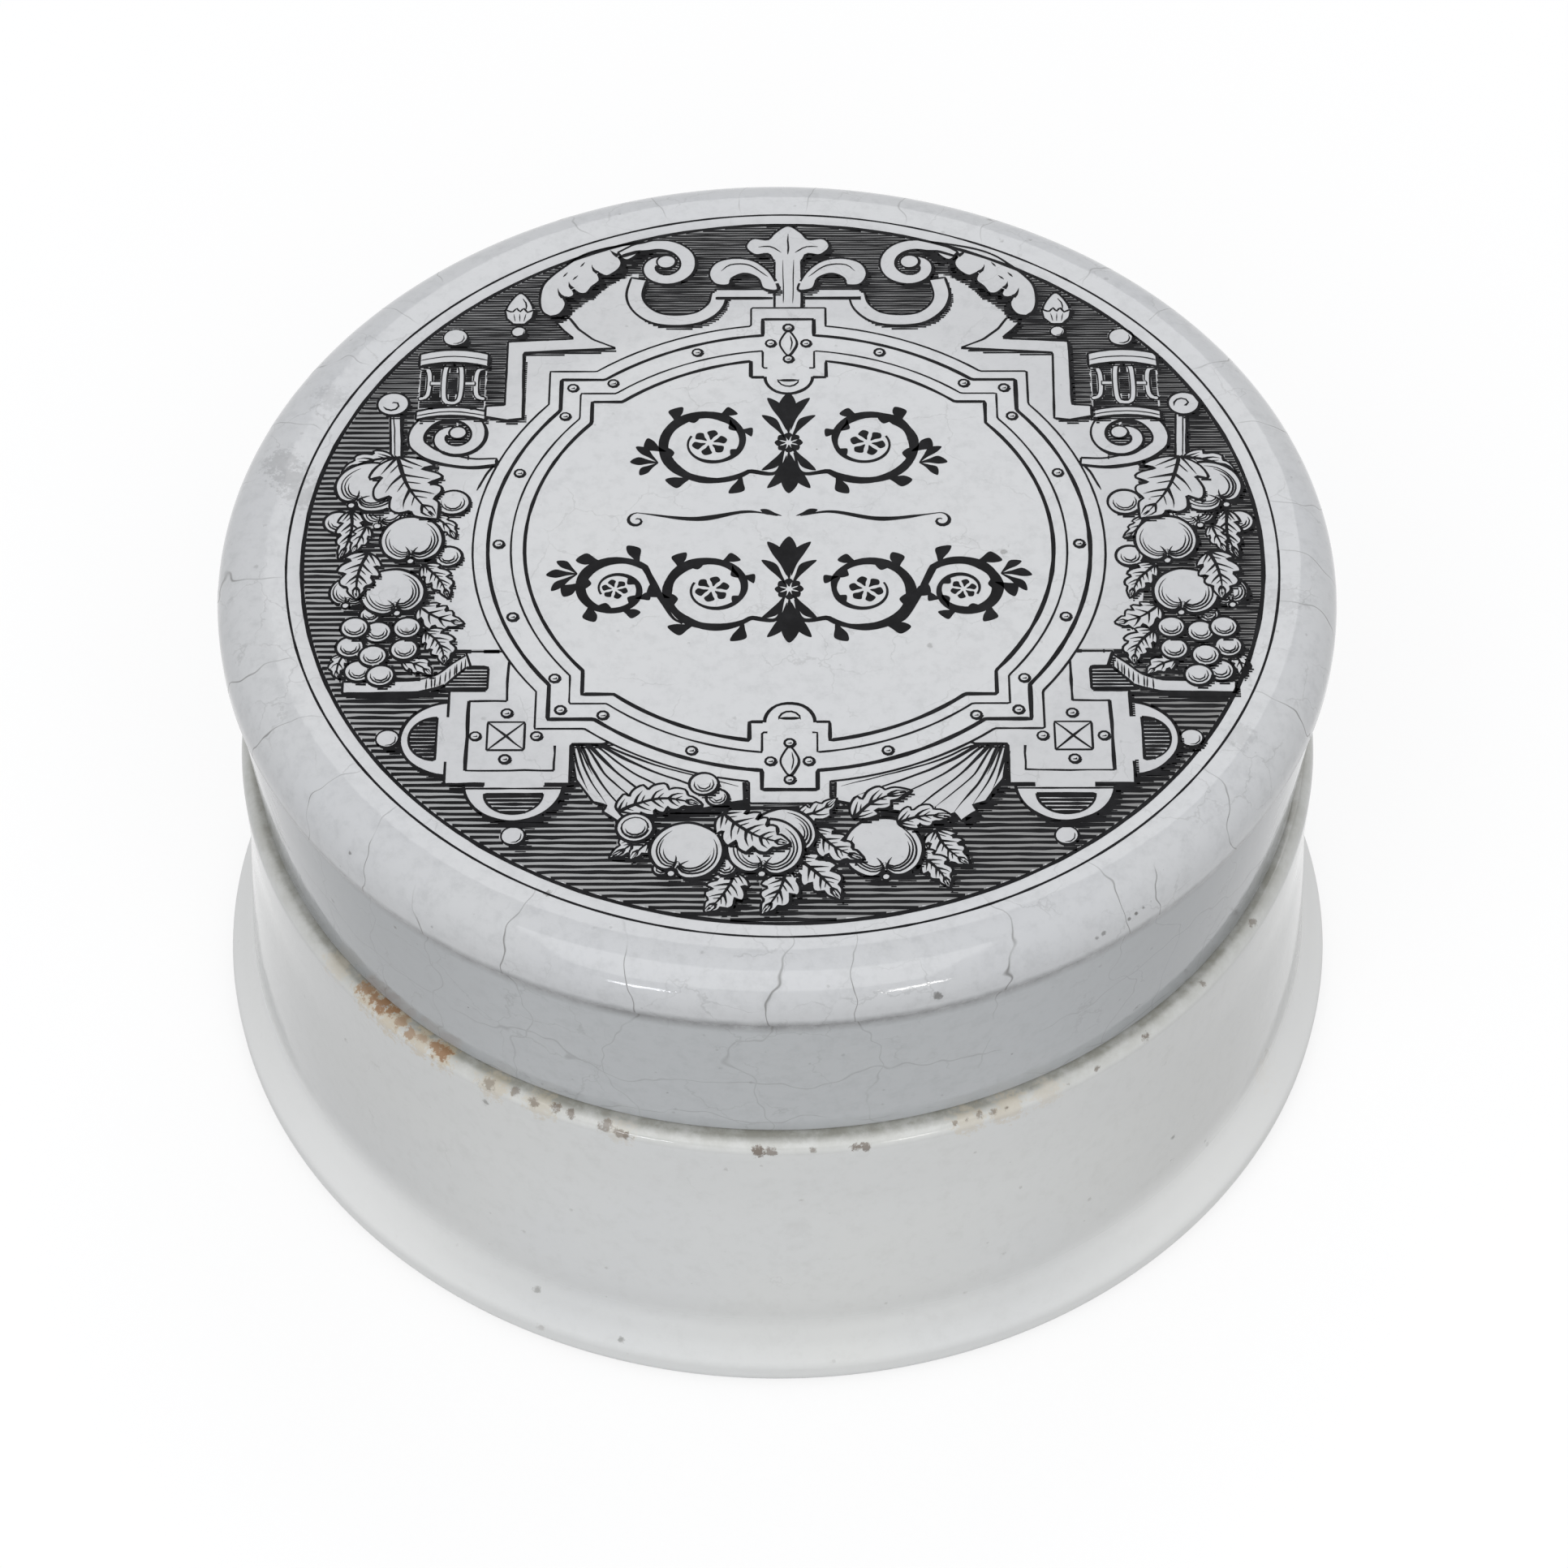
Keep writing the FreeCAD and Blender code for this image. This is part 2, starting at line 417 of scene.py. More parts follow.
def leaf(plate, base, tip, breadth, bend=0.0, lobes=4):
    """A lobed leaf with a bold midrib, tapering side veins and shade beside the rib."""
    base, tip = np.asarray(base, float), np.asarray(tip, float)
    across = np.array([-(tip - base)[1], (tip - base)[0]])
    bold = min(1.0, 0.3 + np.hypot(*across) / 7)
    t = np.linspace(0, 1, 8)[:, None]
    rib = smooth(base + (tip - base) * t + across * bend * np.sin(math.pi * t), False, 5)
    side = normals(rib)

    def at(place, sign, share):
        """A point beside the rib, at a share of the leaf's half width there."""
        index = int(min(max(place, 0), 1) * (len(rib) - 1))
        half = breadth / 2 * math.sin(math.pi * min(place + 0.03, 0.99) ** 0.8) ** 0.65
        return rib[index] + side[index] * sign * share * half

    edges = []
    for sign in (1, -1):
        edge = [rib[0]]
        for lobe in range(lobes):
            edge += [at((lobe + part) / lobes, sign, share) for part, share in LEAF_LOBE]
        edge[-1] = rib[-1]
        edges.append(smooth(edge, False, 2))
    plate.shape(np.vstack([edges[0], edges[1][::-1]]), 0.12 + 0.06 * bold, 0.7, 0.4)
    plate.stroke(rib[:-3], (0.3 * bold, 0.22 * bold, 0.08), (0.1, 0.8))
    for lobe in range(lobes):
        for sign in (1, -1):
            vein = [at((lobe + part) / lobes, sign, share) for part, share in LEAF_VEIN]
            plate.stroke(smooth(vein, False, 5), (0.25 * bold, 0.15 * bold, 0.06), (0.0, 0.4))
            if bold > 0.8:
                hair = [at((lobe + part) / lobes, sign, share) for part, share in LEAF_HAIR]
                plate.stroke(hair, HAIR, (0.0, 0.3))


PEACH = (
    (0, -0.76), (0.2, -0.93), (0.5, -0.92), (0.86, -0.6), (1.0, -0.05), (0.84, 0.5), (0.45, 0.88), (0, 0.97),
    (-0.45, 0.88), (-0.84, 0.5), (-1.0, -0.05), (-0.86, -0.6), (-0.5, -0.92), (-0.2, -0.93),
)


def peach(plate, centre, radius, lean=0.0, stretch=1.0):
    """A cleft round fruit: a pale rim, a dusky crescent within it and a bright middle."""
    centre = np.asarray(centre, float)
    leant = spin(math.radians(lean))

    def put(points):
        """Points of a fruit of radius 1, brought to their size and place."""
        return np.asarray(points, float) * radius * (stretch, 1) @ leant + centre

    rim = smooth(PEACH, True, 6)
    plate.shape(put(rim), 0.22, 0.6, 0.5)
    for line in range(3):
        share = 0.82 - 0.21 / radius * line
        for side, reach, widest in ((1, 0.43 - 0.045 * line, 0.15), (-1, 0.38 - 0.06 * line, 0.12)):
            run = rim[: int(reach * len(rim))] if side > 0 else rim[: -int(reach * len(rim)): -1]
            plate.stroke(put(run * share), (widest, widest, widest * 0.8, 0.06), (0.05, 0.5))
    for sign in (-1, 1):
        cleft = put([(0.03 * sign, -0.72), (0.08 * sign, -0.5), (0.2 * sign, -0.34)])
        plate.stroke(cleft, (0.2, 0.08), (0, 0.3))
    plate.shape(circle_arc(put([(0, -0.97)])[0], 0.3, 0, 330, 30), 0.14, 0.6)


def berry(plate, centre, radius):
    """A small round fruit: a dark crescent inside its rim, and a bright centre."""
    centre = np.asarray(centre, float)
    plate.shape(disc(centre, radius, 14), 0.2, 0.6, 0.4)
    for line, (start, end) in enumerate(((165, 395), (190, 370))):
        arc = circle_arc(centre + (0.0, 0.04), radius * 0.68 - 0.19 * line, start, end)
        plate.stroke(arc, (0.07, 0.14, 0.14, 0.07), (0.2, 0.2))


def side_swag(plate, sign):
    """The hanging swag of one side: leaves, peaches, berries and a bunch of grapes."""
    def at(x, y):
        """A point of this side, from the same point of the right side."""
        return np.array([sign * x, y])

    leaf(plate, at(27.9, 8.4), at(31.5, 6.9), 1.7, 0.1 * sign, 3)
    berry(plate, at(31.4, 2.1), 1.05)
    leaf(plate, at(30.6, 3.2), at(31.2, -1.5), 1.9, -0.08 * sign)
    leaf(plate, at(29.4, 1.7), at(30.3, -0.9), 1.3, 0.0, 3)
    leaf(plate, at(24.8, 2.6), at(23.2, 0.5), 1.2, 0.1, 3)
    berry(plate, at(23.5, 4.0), 1.2)
    peach(plate, at(28.1, 3.3), 1.7, 20 * sign)
    peach(plate, at(29.3, 5.6), 2.35, 35 * sign, 1.05)
    berry(plate, at(23.6, -1.2), 0.98)
    peach(plate, at(26.2, 0.5), 2.2, 0, 1.0)
    leaf(plate, at(27.6, 8.5), at(24.5, 2.4), 4.6, 0.08 * sign, 4)
    leaf(plate, at(25.3, -2.0), at(23.4, -5.2), 1.8, -0.08 * sign, 4)
    berry(plate, at(28.7, -6.7), 0.75)
    peach(plate, at(30.2, -4.5), 1.4, 10 * sign)
    peach(plate, at(27.3, -4.5), 2.15, -12 * sign, 1.05)
    leaf(plate, at(29.1, -0.8), at(29.7, -5.3), 2.7, 0.08 * sign, 4)
    leaf(plate, at(25.3, -5.9), at(22.2, -7.5), 2.2, 0.1 * sign, 4)
    leaf(plate, at(24.9, -8.2), at(23.4, -11.4), 2.0, -0.14 * sign, 4)
    leaf(plate, at(26.3, -10.9), at(24.2, -12.3), 1.5, -0.1 * sign, 3)
    leaf(plate, at(30.3, -10.4), at(30.6, -12.6), 1.2, 0.1 * sign, 3)
    for x, y in ((29.9, -9.7), (26.2, -9.9), (28.1, -8.3), (29.7, -7.9), (26.1, -7.9), (29.2, -11.9),
                 (28.3, -10.5), (27.7, -12.3)):
        berry(plate, at(x, y), 0.98)


def hanger(plate, sign):
    """The rod and curled hook that a side swag hangs from."""
    plate.shape(on_side(sign, (28.4, 13.5), (27.6, 13.5), (27.3, 8.5), (28.1, 8.5)), FRAME_INK, 0.8, 0.5)
    plate.stroke(on_side(sign, (28.1, 13.0), (27.8, 8.6)), HAIR, (0.2, 0.2))
    plate.shape(disc((sign * 28.2, 13.8), 1.15, 12), FRAME_INK, 0.8, 0.5)
    coil = spiral((sign * 28.2, 13.8), 0.75, 0.15, 200, 0.8, -sign)
    plate.stroke(coil, 0.14, (0.1, 0.1))


def pedestal(plate, sign):
    """A small pierced drum between two bowed mouldings, with a ball on top."""
    x = sign * 24.05
    ground = rectangle((x, 15.9), 2.35, 2.5)
    plate.paper(ground)
    plate.shade_lines(ground, 0.22, 0.2)
    link = smooth([(x, 17.9), (x + 0.56, 17.4), (x + 0.56, 14.4), (x, 13.9), (x - 0.56, 14.4),
                   (x - 0.56, 17.4)], True, 6)
    for side in (-1, 1):
        half_link = [(x + side * out, y) for out, y in (
            (2.4, 17.5), (1.85, 17.3), (1.68, 16.6), (1.68, 15.2), (1.85, 14.5), (2.4, 14.3))]
        plate.shape(band(smooth(half_link, False, 6), 0.4), 0.1)
        plate.shape(rectangle((x + side * 1.12, 15.9), 0.5, 0.2), 0.08)
    plate.shape(band(np.vstack([link, link[:2]]), 0.4), 0.1)
    hollow = (link - (x, 15.9)) * (0.6, 0.88) + (x, 15.9)
    plate.paper(hollow)
    plate.shade_lines(hollow, 0.22, 0.2)
    ball(plate, (x, 20.6), 0.9)
    bow = 7.3
    for top, thick in ((19.35, 1.35), (13.5, 0.9)):
        crown = circle_arc((x, top - bow), bow, 90 - 20, 90 + 20, 8)
        foot = circle_arc((x, top - bow - thick), bow, 90 + 20, 90 - 20, 8)
        plate.shape(np.vstack([crown, foot]), FRAME_INK, 0.8, 0.5)
        plate.stroke((crown + foot[::-1]) / 2, HAIR, (0.2, 0.2))


def side_volute(plate, sign):
    """The scroll under a pedestal, with its tail running to the swag."""
    lead = curve_on_side(sign, 6, (20.6, 8.0), (22.6, 7.9), (25.0, 8.6), (26.3, 9.7))
    coil = spiral((sign * 23.75, 10.5), 2.65, 0.5, 0 if sign > 0 else 180, 1.35, sign)
    volute(plate, coil, (0.7, 1.15, 1.2, 1.15, 1.0, 0.8), lead)


def acorn(plate, sign):
    """An acorn standing in its cup on a small knob."""
    x, y = sign * 19.5, 23.2
    ball(plate, (x, 21.2), 0.55)
    nut = smooth([(x - 0.95, y), (x - 0.8, y + 1.0), (x, y + 2.1), (x + 0.8, y + 1.0), (x + 0.95, y),
                  (x, y - 0.4)], True, 6)
    plate.shape(nut, FRAME_INK, 1.2, 0.6)
    shine = smooth([(x + 0.4, y + 0.2), (x + 0.45, y + 0.9), (x + 0.15, y + 1.5)], False, 5)
    plate.stroke(shine, 0.12, (0.3, 0.3))
    cup = [(x - 1.1, y + 0.35), (x - 0.55, y + 0.05), (x - 0.25, y + 0.5), (x, y + 0.1), (x + 0.25, y + 0.5),
           (x + 0.55, y + 0.05), (x + 1.1, y + 0.35), (x + 0.95, y - 0.6), (x + 0.4, y - 1.25),
           (x - 0.4, y - 1.25), (x - 0.95, y - 0.6)]
    plate.shape(cup, 0.15, 1.0)
    for dx in (-0.45, 0.0, 0.45):
        plate.stroke([(x + dx, y - 0.1), (x + dx * 0.7, y - 0.9)], 0.09, (0.1, 0.3))


ACANTHUS_BACK = (
    (9.6, 30.9), (11.7, 30.5), (13.8, 29.95), (15.25, 29.2), (16.4, 28.1), (17.3, 27.1), (17.95, 26.0),
    (18.1, 24.4), (17.85, 23.3), (17.3, 22.8),
)
ACANTHUS_LOBES = (
    ((17.3, 22.8), (16.7, 22.95), (16.3, 23.5), (16.15, 24.2), (16.4, 24.85)),
    ((16.4, 24.85), (15.9, 24.75), (15.55, 25.1), (15.75, 25.75)),
    ((15.75, 25.75), (15.2, 25.2), (14.65, 25.25), (14.3, 25.9), (13.75, 26.6), (13.95, 27.45)),
    ((13.95, 27.45), (13.3, 27.05), (12.75, 27.4), (12.3, 28.0), (12.2, 28.6), (12.5, 29.25)),
    ((12.5, 29.25), (11.9, 28.75), (11.4, 29.0), (10.9, 29.6)),
)
ACANTHUS_CREASES = (
    ((16.4, 24.85), (16.7, 25.2), (16.85, 25.8)), ((15.75, 25.75), (16.0, 26.1), (16.05, 26.5)),
    ((13.95, 27.45), (14.3, 27.8), (14.4, 28.3)), ((12.5, 29.25), (12.8, 29.5), (13.1, 29.9)),
)


def acanthus(plate, sign):
    """A curled acanthus leaf over the corner: puffed lobes below, its head rolled into a scroll."""
    outline = np.vstack([curve_on_side(sign, 5, *edge) for edge in (ACANTHUS_BACK, *ACANTHUS_LOBES)])
    for fall in (0.25, 0.5, 0.75):
        plate.shade_lines(outline + np.array([-0.75 * sign, -0.9]) * fall, 0.2, 0.17)
    plate.shape(outline, 0.19, 0.6)
    for crease in ACANTHUS_CREASES:
        plate.stroke(curve_on_side(sign, 5, *crease), (0.34, 0.2, 0.07), (0, 0.5))
    for x, y in ((16.3, 27.2), (15.1, 28.3), (15.6, 26.9)):
        plate.stroke(on_side(sign, (x - 0.2, y + 0.25), (x + 0.15, y - 0.2)), 0.14, (0.2, 0.2))
    lead = curve_on_side(sign, 4, (12.4, 29.4), (11.2, 30.1))
    coil = spiral((sign * 9.15, 28.1), 2.45, 0.55, 60 if sign > 0 else 120, 1.15, sign)
    volute(plate, coil, (0.5, 1.1, 1.2, 1.2, 1.05, 0.9), lead)


CREST_CURL = (
    (0.7, 25.6), (1.3, 27.4), (2.5, 28.7), (4.0, 29.0), (5.3, 28.5), (5.8, 27.3), (5.3, 26.2), (4.3, 26.1),
    (4.1, 26.8), (3.2, 27.3), (2.2, 26.8), (1.8, 25.7),
)
CREST_CROWN = (
    (-0.9, 28.6), (-1.4, 29.4), (-2.4, 29.3), (-3.1, 30.2), (-2.6, 31.1), (-1.5, 31.0), (-1.0, 31.7), (0, 32.5),
    (1.0, 31.7), (1.5, 31.0), (2.6, 31.1), (3.1, 30.2), (2.4, 29.3), (1.4, 29.4), (0.9, 28.6),
)


def crest(plate):
    """A leafy finial on a stem, over the upper jewel."""
    plate.shape(rectangle((0, 26.5), 1.0, 3.3), FRAME_INK, 0.8, 0.5)
    for sign in (-1, 1):
        plate.shape(smooth(on_side(sign, *CREST_CURL), True, 5), FRAME_INK, 0.9, 0.6)
        fold = curve_on_side(sign, 6, (1.5, 27.0), (2.8, 28.2), (4.2, 28.3), (4.9, 27.6))
        plate.stroke(fold, (0.07, 0.13, 0.07), (0.2, 0.5))
    plate.shape(smooth(CREST_CROWN, True, 5), FRAME_INK, 0.9, 0.6)
    plate.paper(rectangle((0, 27.8), 0.9, 1.4))
    for sign in (-1, 1):
        plate.stroke(curve_on_side(sign, 5, (0.5, 29.6), (1.3, 30.2), (2.2, 30.2)), 0.11, (0.3, 0.4))
        plate.stroke(on_side(sign, (0.35, 24.2), (0.4, 28.8)), 0.08, (0.4, 1.0))
    plate.stroke([(0, 29.4), (0, 31.6)], 0.13, (0.3, 0.8))


# The cartouche

RING_LINES = ((21.95, 17.1, 2.7, 23.7, 0.15), (20.9, 16.25, 1.85, 22.5, 0.27),
              (19.3, 14.85, 1.85, 17.45, 0.14), (18.35, 14.0, 2.7, 16.5, 0.26))


def eared_ring(radius, ear, half_step, reach):
    """A circle with square ears on its diagonals and a square step at its top and bottom."""
    flat = math.sqrt(radius**2 - ear**2)
    first = math.degrees(math.asin(half_step / radius))
    near = math.degrees(math.atan2(flat, ear))
    quarter = np.vstack([
        [(half_step, reach)], circle_arc((0, 0), radius, 90 - first, 90 - near, 3), [(ear, ear)],
        circle_arc((0, 0), radius, near, 0, 3)[:-1],
    ])
    right = np.vstack([quarter, [(radius, 0)], quarter[::-1] * (1, -1)])
    return np.vstack([right, right[::-1] * (-1, 1)])


MOUNT_LOOPS = (
    ((22.6, -18.0), 90, -90, (3.5, 3.3), (1.85, 1.9), (1.05, 0)),
    ((18.3, -21.9), 180, 360, (3.35, 3.4), (1.95, 1.75), (0, -0.95)),
)
MOUNT_FRAME = (
    (14.6, -22.0), (22.95, -22.0), (22.95, -13.7), (20.5, -13.7), (20.5, -11.5), (21.6, -11.5),
    (22.0, -10.1), (19.0, -10.1), (17.0, -13.0), (11.0, -17.4), (12.4, -18.5), (14.6, -18.5),
)
MOUNT_WINDOW = ((21.9, -11.55), (20.4, -11.55), (20.4, -13.6), (23.6, -13.6), (22.8, -12.6))
MOUNT_LINES = (
    ((19.05, -10.1), (19.05, -14.6), 0.2), ((19.05, -14.6), (21.6, -14.6), 0.16),
    ((21.6, -14.6), (21.6, -20.8), 0.26), ((21.6, -20.8), (15.7, -20.8), 0.15),
    ((15.7, -20.8), (15.7, -18.6), 0.17),
)


def corner_mount(plate, sign):
    """A lower corner: a jewel in a frame with two loops, balls, a shelf and its strap."""
    shelf = curve_on_side(sign, 8, (21.3, -10.7), (22.4, -11.6), (23.6, -12.7), (25.2, -13.3))
    strap(plate, np.vstack([shelf, on_side(sign, (30.2, -13.4))]), (1.3, 1.15, 1.1, 1.1))
    for share in np.linspace(0.15, 0.9, 11):
        x, y = shelf[int(share * (len(shelf) - 1))]
        plate.stroke([(x, y + 0.5), (x, y - 0.5)], HAIR, (0.1, 0.1))
    ball(plate, (sign * 26.9, -18.0), 0.8)
    ball(plate, (sign * 18.2, -26.5), 0.8)
    for (x, y), start, end, reach, hole, inset in MOUNT_LOOPS:
        arc = circle_arc((0, 0), 1.0, start, end, 8)
        plate.shape((arc * reach + (x, y)) * (sign, 1), 0.22, 0.7, 0.6)
        window(plate, (arc * hole + (x, y) + inset) * (sign, 1), 0.34, 0.27)
    plate.shape(on_side(sign, *MOUNT_FRAME), FRAME_INK, 0.7, 0.6)
    for start, end, width in MOUNT_LINES[:2]:
        plate.stroke(on_side(sign, start, end), width, WHOLE)
    window(plate, on_side(sign, *MOUNT_WINDOW), 0.3, 0.22)
    for start, end, width in MOUNT_LINES[2:]:
        plate.stroke(on_side(sign, start, end), width, WHOLE)
    plate.paper(rectangle((sign * 22.95, -18.0), 0.2, 1.9))
    plate.paper(rectangle((sign * 18.3, -22.0), 1.9, 0.2))
    square_jewel(plate, (sign * 19.0, -17.75))


def bracket(plate, sign):
    """The strap that turns the upper corner and ends in a horn under the acanthus."""
    outline = on_side(sign, (20.25, 20.2), (20.25, 13.7), (21.6, 13.6), (21.6, 12.5), (20.0, 12.1),
                      (18.9, 12.3), (19.05, 19.0), (12.4, 19.5), (14.1, 20.4), (15.2, 21.5), (15.9, 22.7),
                      (16.9, 22.3), (16.3, 21.4), (15.5, 20.5))
    plate.shape(outline, FRAME_INK, 0.7, 0.5)


def white_panel(plate, sign):
    """The bare field behind the straps of one upper corner."""
    plate.paper(on_side(sign, (0, 22.0), (0, 25.2), (5.0, 25.2), (5.6, 23.4), (7.7, 22.2), (10.2, 23.0),
                        (11.3, 25.0), (11.0, 27.4), (12.6, 26.5), (16.2, 22.6), (14.5, 20.5), (12.4, 19.4),
                        (19.3, 19.3), (19.3, 12.3), (22.5, 12.4), (22.5, 8.2), (24.6, 7.7), (24.4, 3.0),
                        (24.0, -1.0), (24.3, -5.0), (23.6, -8.0), (23.0, -9.9), (19.0, -9.9), (12.0, 0.0)))
    tail = curve_on_side(sign, 6, (23.6, 7.9), (20.8, 8.1), (21.3, 6.8), (21.9, 5.2))
    plate.stroke(tail, FRAME_INK, (0.1, 0.4))


def looped_strap(plate, sign):
    """The strap from the stem out, down round a loop and up to the scroll."""
    strap(plate, curve_on_side(sign, 8, (5.0, 25.2), (5.3, 23.9), (6.3, 22.8), (7.8, 22.4), (9.5, 22.6),
                               (10.7, 23.6), (11.2, 25.0), (10.9, 26.8)), 1.2)
    strap(plate, on_side(sign, (1.0, 25.2), (5.3, 25.2)), 0.95, 0.0)
    plate.paper(rectangle((sign * 5.0, 25.05), 0.5, 0.32))


DRAPERY_FOLDS = (
    ((9.0, -20.3), (3.4, -22.2)), ((9.6, -20.6), (4.5, -23.0)), ((10.4, -21.0), (6.0, -23.8)),
    ((11.2, -21.3), (8.0, -24.4)), ((12.0, -21.5), (9.6, -24.0)), ((12.7, -21.6), (10.8, -24.5)),
    ((13.4, -21.3), (12.1, -23.8)), ((14.0, -20.8), (13.4, -22.6)),
)


def drapery(plate, sign):
    """Cloth gathered at a corner mount, that falls along the ring in folds with a torn hem."""
    gathered = on_side(sign, (14.7, -18.4), (12.2, -18.4))
    along_ring = on_side(sign, *circle_arc((0, 0), 21.8, -57, -82, 5))
    hem = on_side(sign, (3.0, -23.5), (5.6, -24.2), (8.2, -24.6), (9.6, -24.1), (10.2, -25.0), (10.9, -24.6),
                  (11.3, -25.3), (12.4, -24.4), (12.1, -23.9), (13.0, -23.6), (14.2, -21.6))
    plate.shape(np.vstack([gathered, along_ring, hem]), FRAME_INK, 1.0, 0.7)
    for place, (middle, end) in enumerate(DRAPERY_FOLDS):
        top = 12.5 + 0.29 * place
        fold = curve_on_side(sign, 10, (top, -18.5), middle, end)
        plate.stroke(fold, (0.24, 0.2, 0.16, 0.07) if place % 2 else (0.2, 0.13, 0.07), (0.1, 1.2))
        if place % 2:
            plate.stroke(fold[: len(fold) // 2] + (0.22 * sign, 0.1), (0.16, 0.07), (0.0, 0.9))


def lower_festoon(plate):
    """Fruit, flowers and leaves under the cartouche."""
    berry(plate, (9.6, -27.3), 1.0)
    leaf(plate, (9.6, -26.0), (11.8, -29.0), 2.3, -0.1, 4)
    leaf(plate, (8.2, -28.0), (10.4, -31.0), 1.9, 0.1, 4)
    leaf(plate, (-9.6, -25.6), (-11.9, -28.4), 1.6, 0.1, 3)
    leaf(plate, (-8.4, -26.6), (-10.5, -28.6), 1.5, -0.1, 3)
    leaf(plate, (-3.6, -29.6), (-5.6, -33.0), 2.5, 0.08, 4)
    leaf(plate, (-0.2, -29.0), (-1.9, -33.2), 2.4, 0.08, 4)
    leaf(plate, (0.4, -28.4), (3.3, -32.0), 2.5, 0.06, 4)
    berry(plate, (-8.4, -29.3), 0.6)
    berry(plate, (-4.2, -29.2), 0.75)
    peach(plate, (6.1, -27.5), 2.6, 4, 1.02)
    leaf(plate, (1.6, -25.9), (4.9, -28.5), 2.2, -0.1, 4)
    leaf(plate, (0.4, -24.9), (3.1, -23.2), 1.6, -0.12, 3)
    leaf(plate, (4.2, -25.0), (8.1, -22.6), 2.0, 0.12, 3)
    leaf(plate, (7.1, -25.4), (10.8, -24.9), 1.9, 0.1, 3)
    peach(plate, (-6.7, -27.7), 2.35, -28, 1.04)
    berry(plate, (-4.8, -23.2), 0.75)
    peach(plate, (-0.4, -26.2), 2.1, 25, 1.0)
    peach(plate, (-1.6, -27.4), 2.45, -6, 1.04)
    leaf(plate, (-4.4, -24.6), (0.1, -27.2), 3.2, -0.1, 5)
    leaf(plate, (-11.3, -24.4), (-5.7, -23.9), 2.5, 0.16, 5)
    berry(plate, (-5.7, -22.0), 0.98)
    berry(plate, (-10.2, -25.8), 1.25)
    plate.stroke(disc((-10.2, -25.8), 0.9, 12), HAIR, WHOLE)


RIVETS = (
    (19, 20.15), (38.3, 20.25), (45, 21.8), (51.7, 20.25), (70, 20.15), (90, 20.15), (110, 20.15),
    (128.3, 20.25), (135, 21.8), (141.7, 20.25), (161, 20.15),
)
STEP_HALF = 1.72


def cartouche(plate):
    """The ring of four lines with its ears, its rivets and its two jewelled steps."""
    *rings, innermost = [(eared_ring(*size), width) for *size, width in RING_LINES]
    plate.paper(rings[0][0])
    for ring, width in rings:
        plate.outline(ring, width, 0.2)
    plate.paper(innermost[0])
    for sign in (-1, 1):
        plate.paper(disc((0, sign * 16.55), STEP_HALF, 10))
    plate.outline(*innermost, 0.2)
    for sign in (-1, 1):
        plate.paper(rectangle((0, sign * 16.5), STEP_HALF, 0.25))
        plate.stroke(circle_arc((0, sign * 16.55), STEP_HALF, 0, -180 * sign), 0.24, WHOLE)
        plate.stroke([(-0.75, sign * 16.2), (0.75, sign * 16.2)], 0.22, (0.2, 0.2))
        plate.stroke(circle_arc((0, sign * 16.3), 0.75, 0, -180 * sign), 0.14, (0.1, 0.1))
    for sign in (-1, 1):
        plate.paper(rectangle((0, sign * 20.05), STEP_HALF, 0.55))
    for angle, radius in RIVETS:
        for sign in (-1, 1):
            turn = math.radians(90 - sign * angle)
            stud(plate, (radius * math.cos(turn), radius * math.sin(turn)), 0.37)
    for sign in (-1, 1):
        pointed_jewel(plate, (0, sign * 20.0))


# The ornament in the middle: two rows of bold leafy scrolls, the same left and right

def swelling(plate, path, fattest, peak=0.4, thin=0.1):
    """A pen flourish that swells to its fattest at its peak and thins at both ends."""
    t = np.linspace(0, 1, 24)
    swell = np.sin(math.pi * t ** (math.log(0.5) / math.log(peak))) ** 1.3
    plate.stroke(path, thin + (fattest - thin) * swell, WHOLE, 0.24, 0.0)


def drop(plate, root, tip, fat, curl=0.0):
    """A solid leaf, thin at its root and round towards its tip, curled to one side."""
    root, tip = np.asarray(root, float), np.asarray(tip, float)
    along = tip - root
    across = np.array([-along[1], along[0]]) / max(np.hypot(*along), 1e-6)
    bow = across * curl
    plate.black(smooth([root, root + along * 0.35 + across * fat * 0.28 + bow * 0.7,
                        root + along * 0.7 + across * fat * 0.55 + bow, tip,
                        root + along * 0.72 - across * fat * 0.42 + bow,
                        root + along * 0.35 - across * fat * 0.18 + bow * 0.7], True, 6))


def rosette(plate, centre, radius, petals, start):
    """Petals round a point."""
    for petal in range(petals):
        turn = math.radians(start + petal * 360 / petals)
        towards = np.array([math.cos(turn), math.sin(turn)])
        drop(plate, centre + towards * radius * 0.22, centre + towards * radius, radius * 0.62)


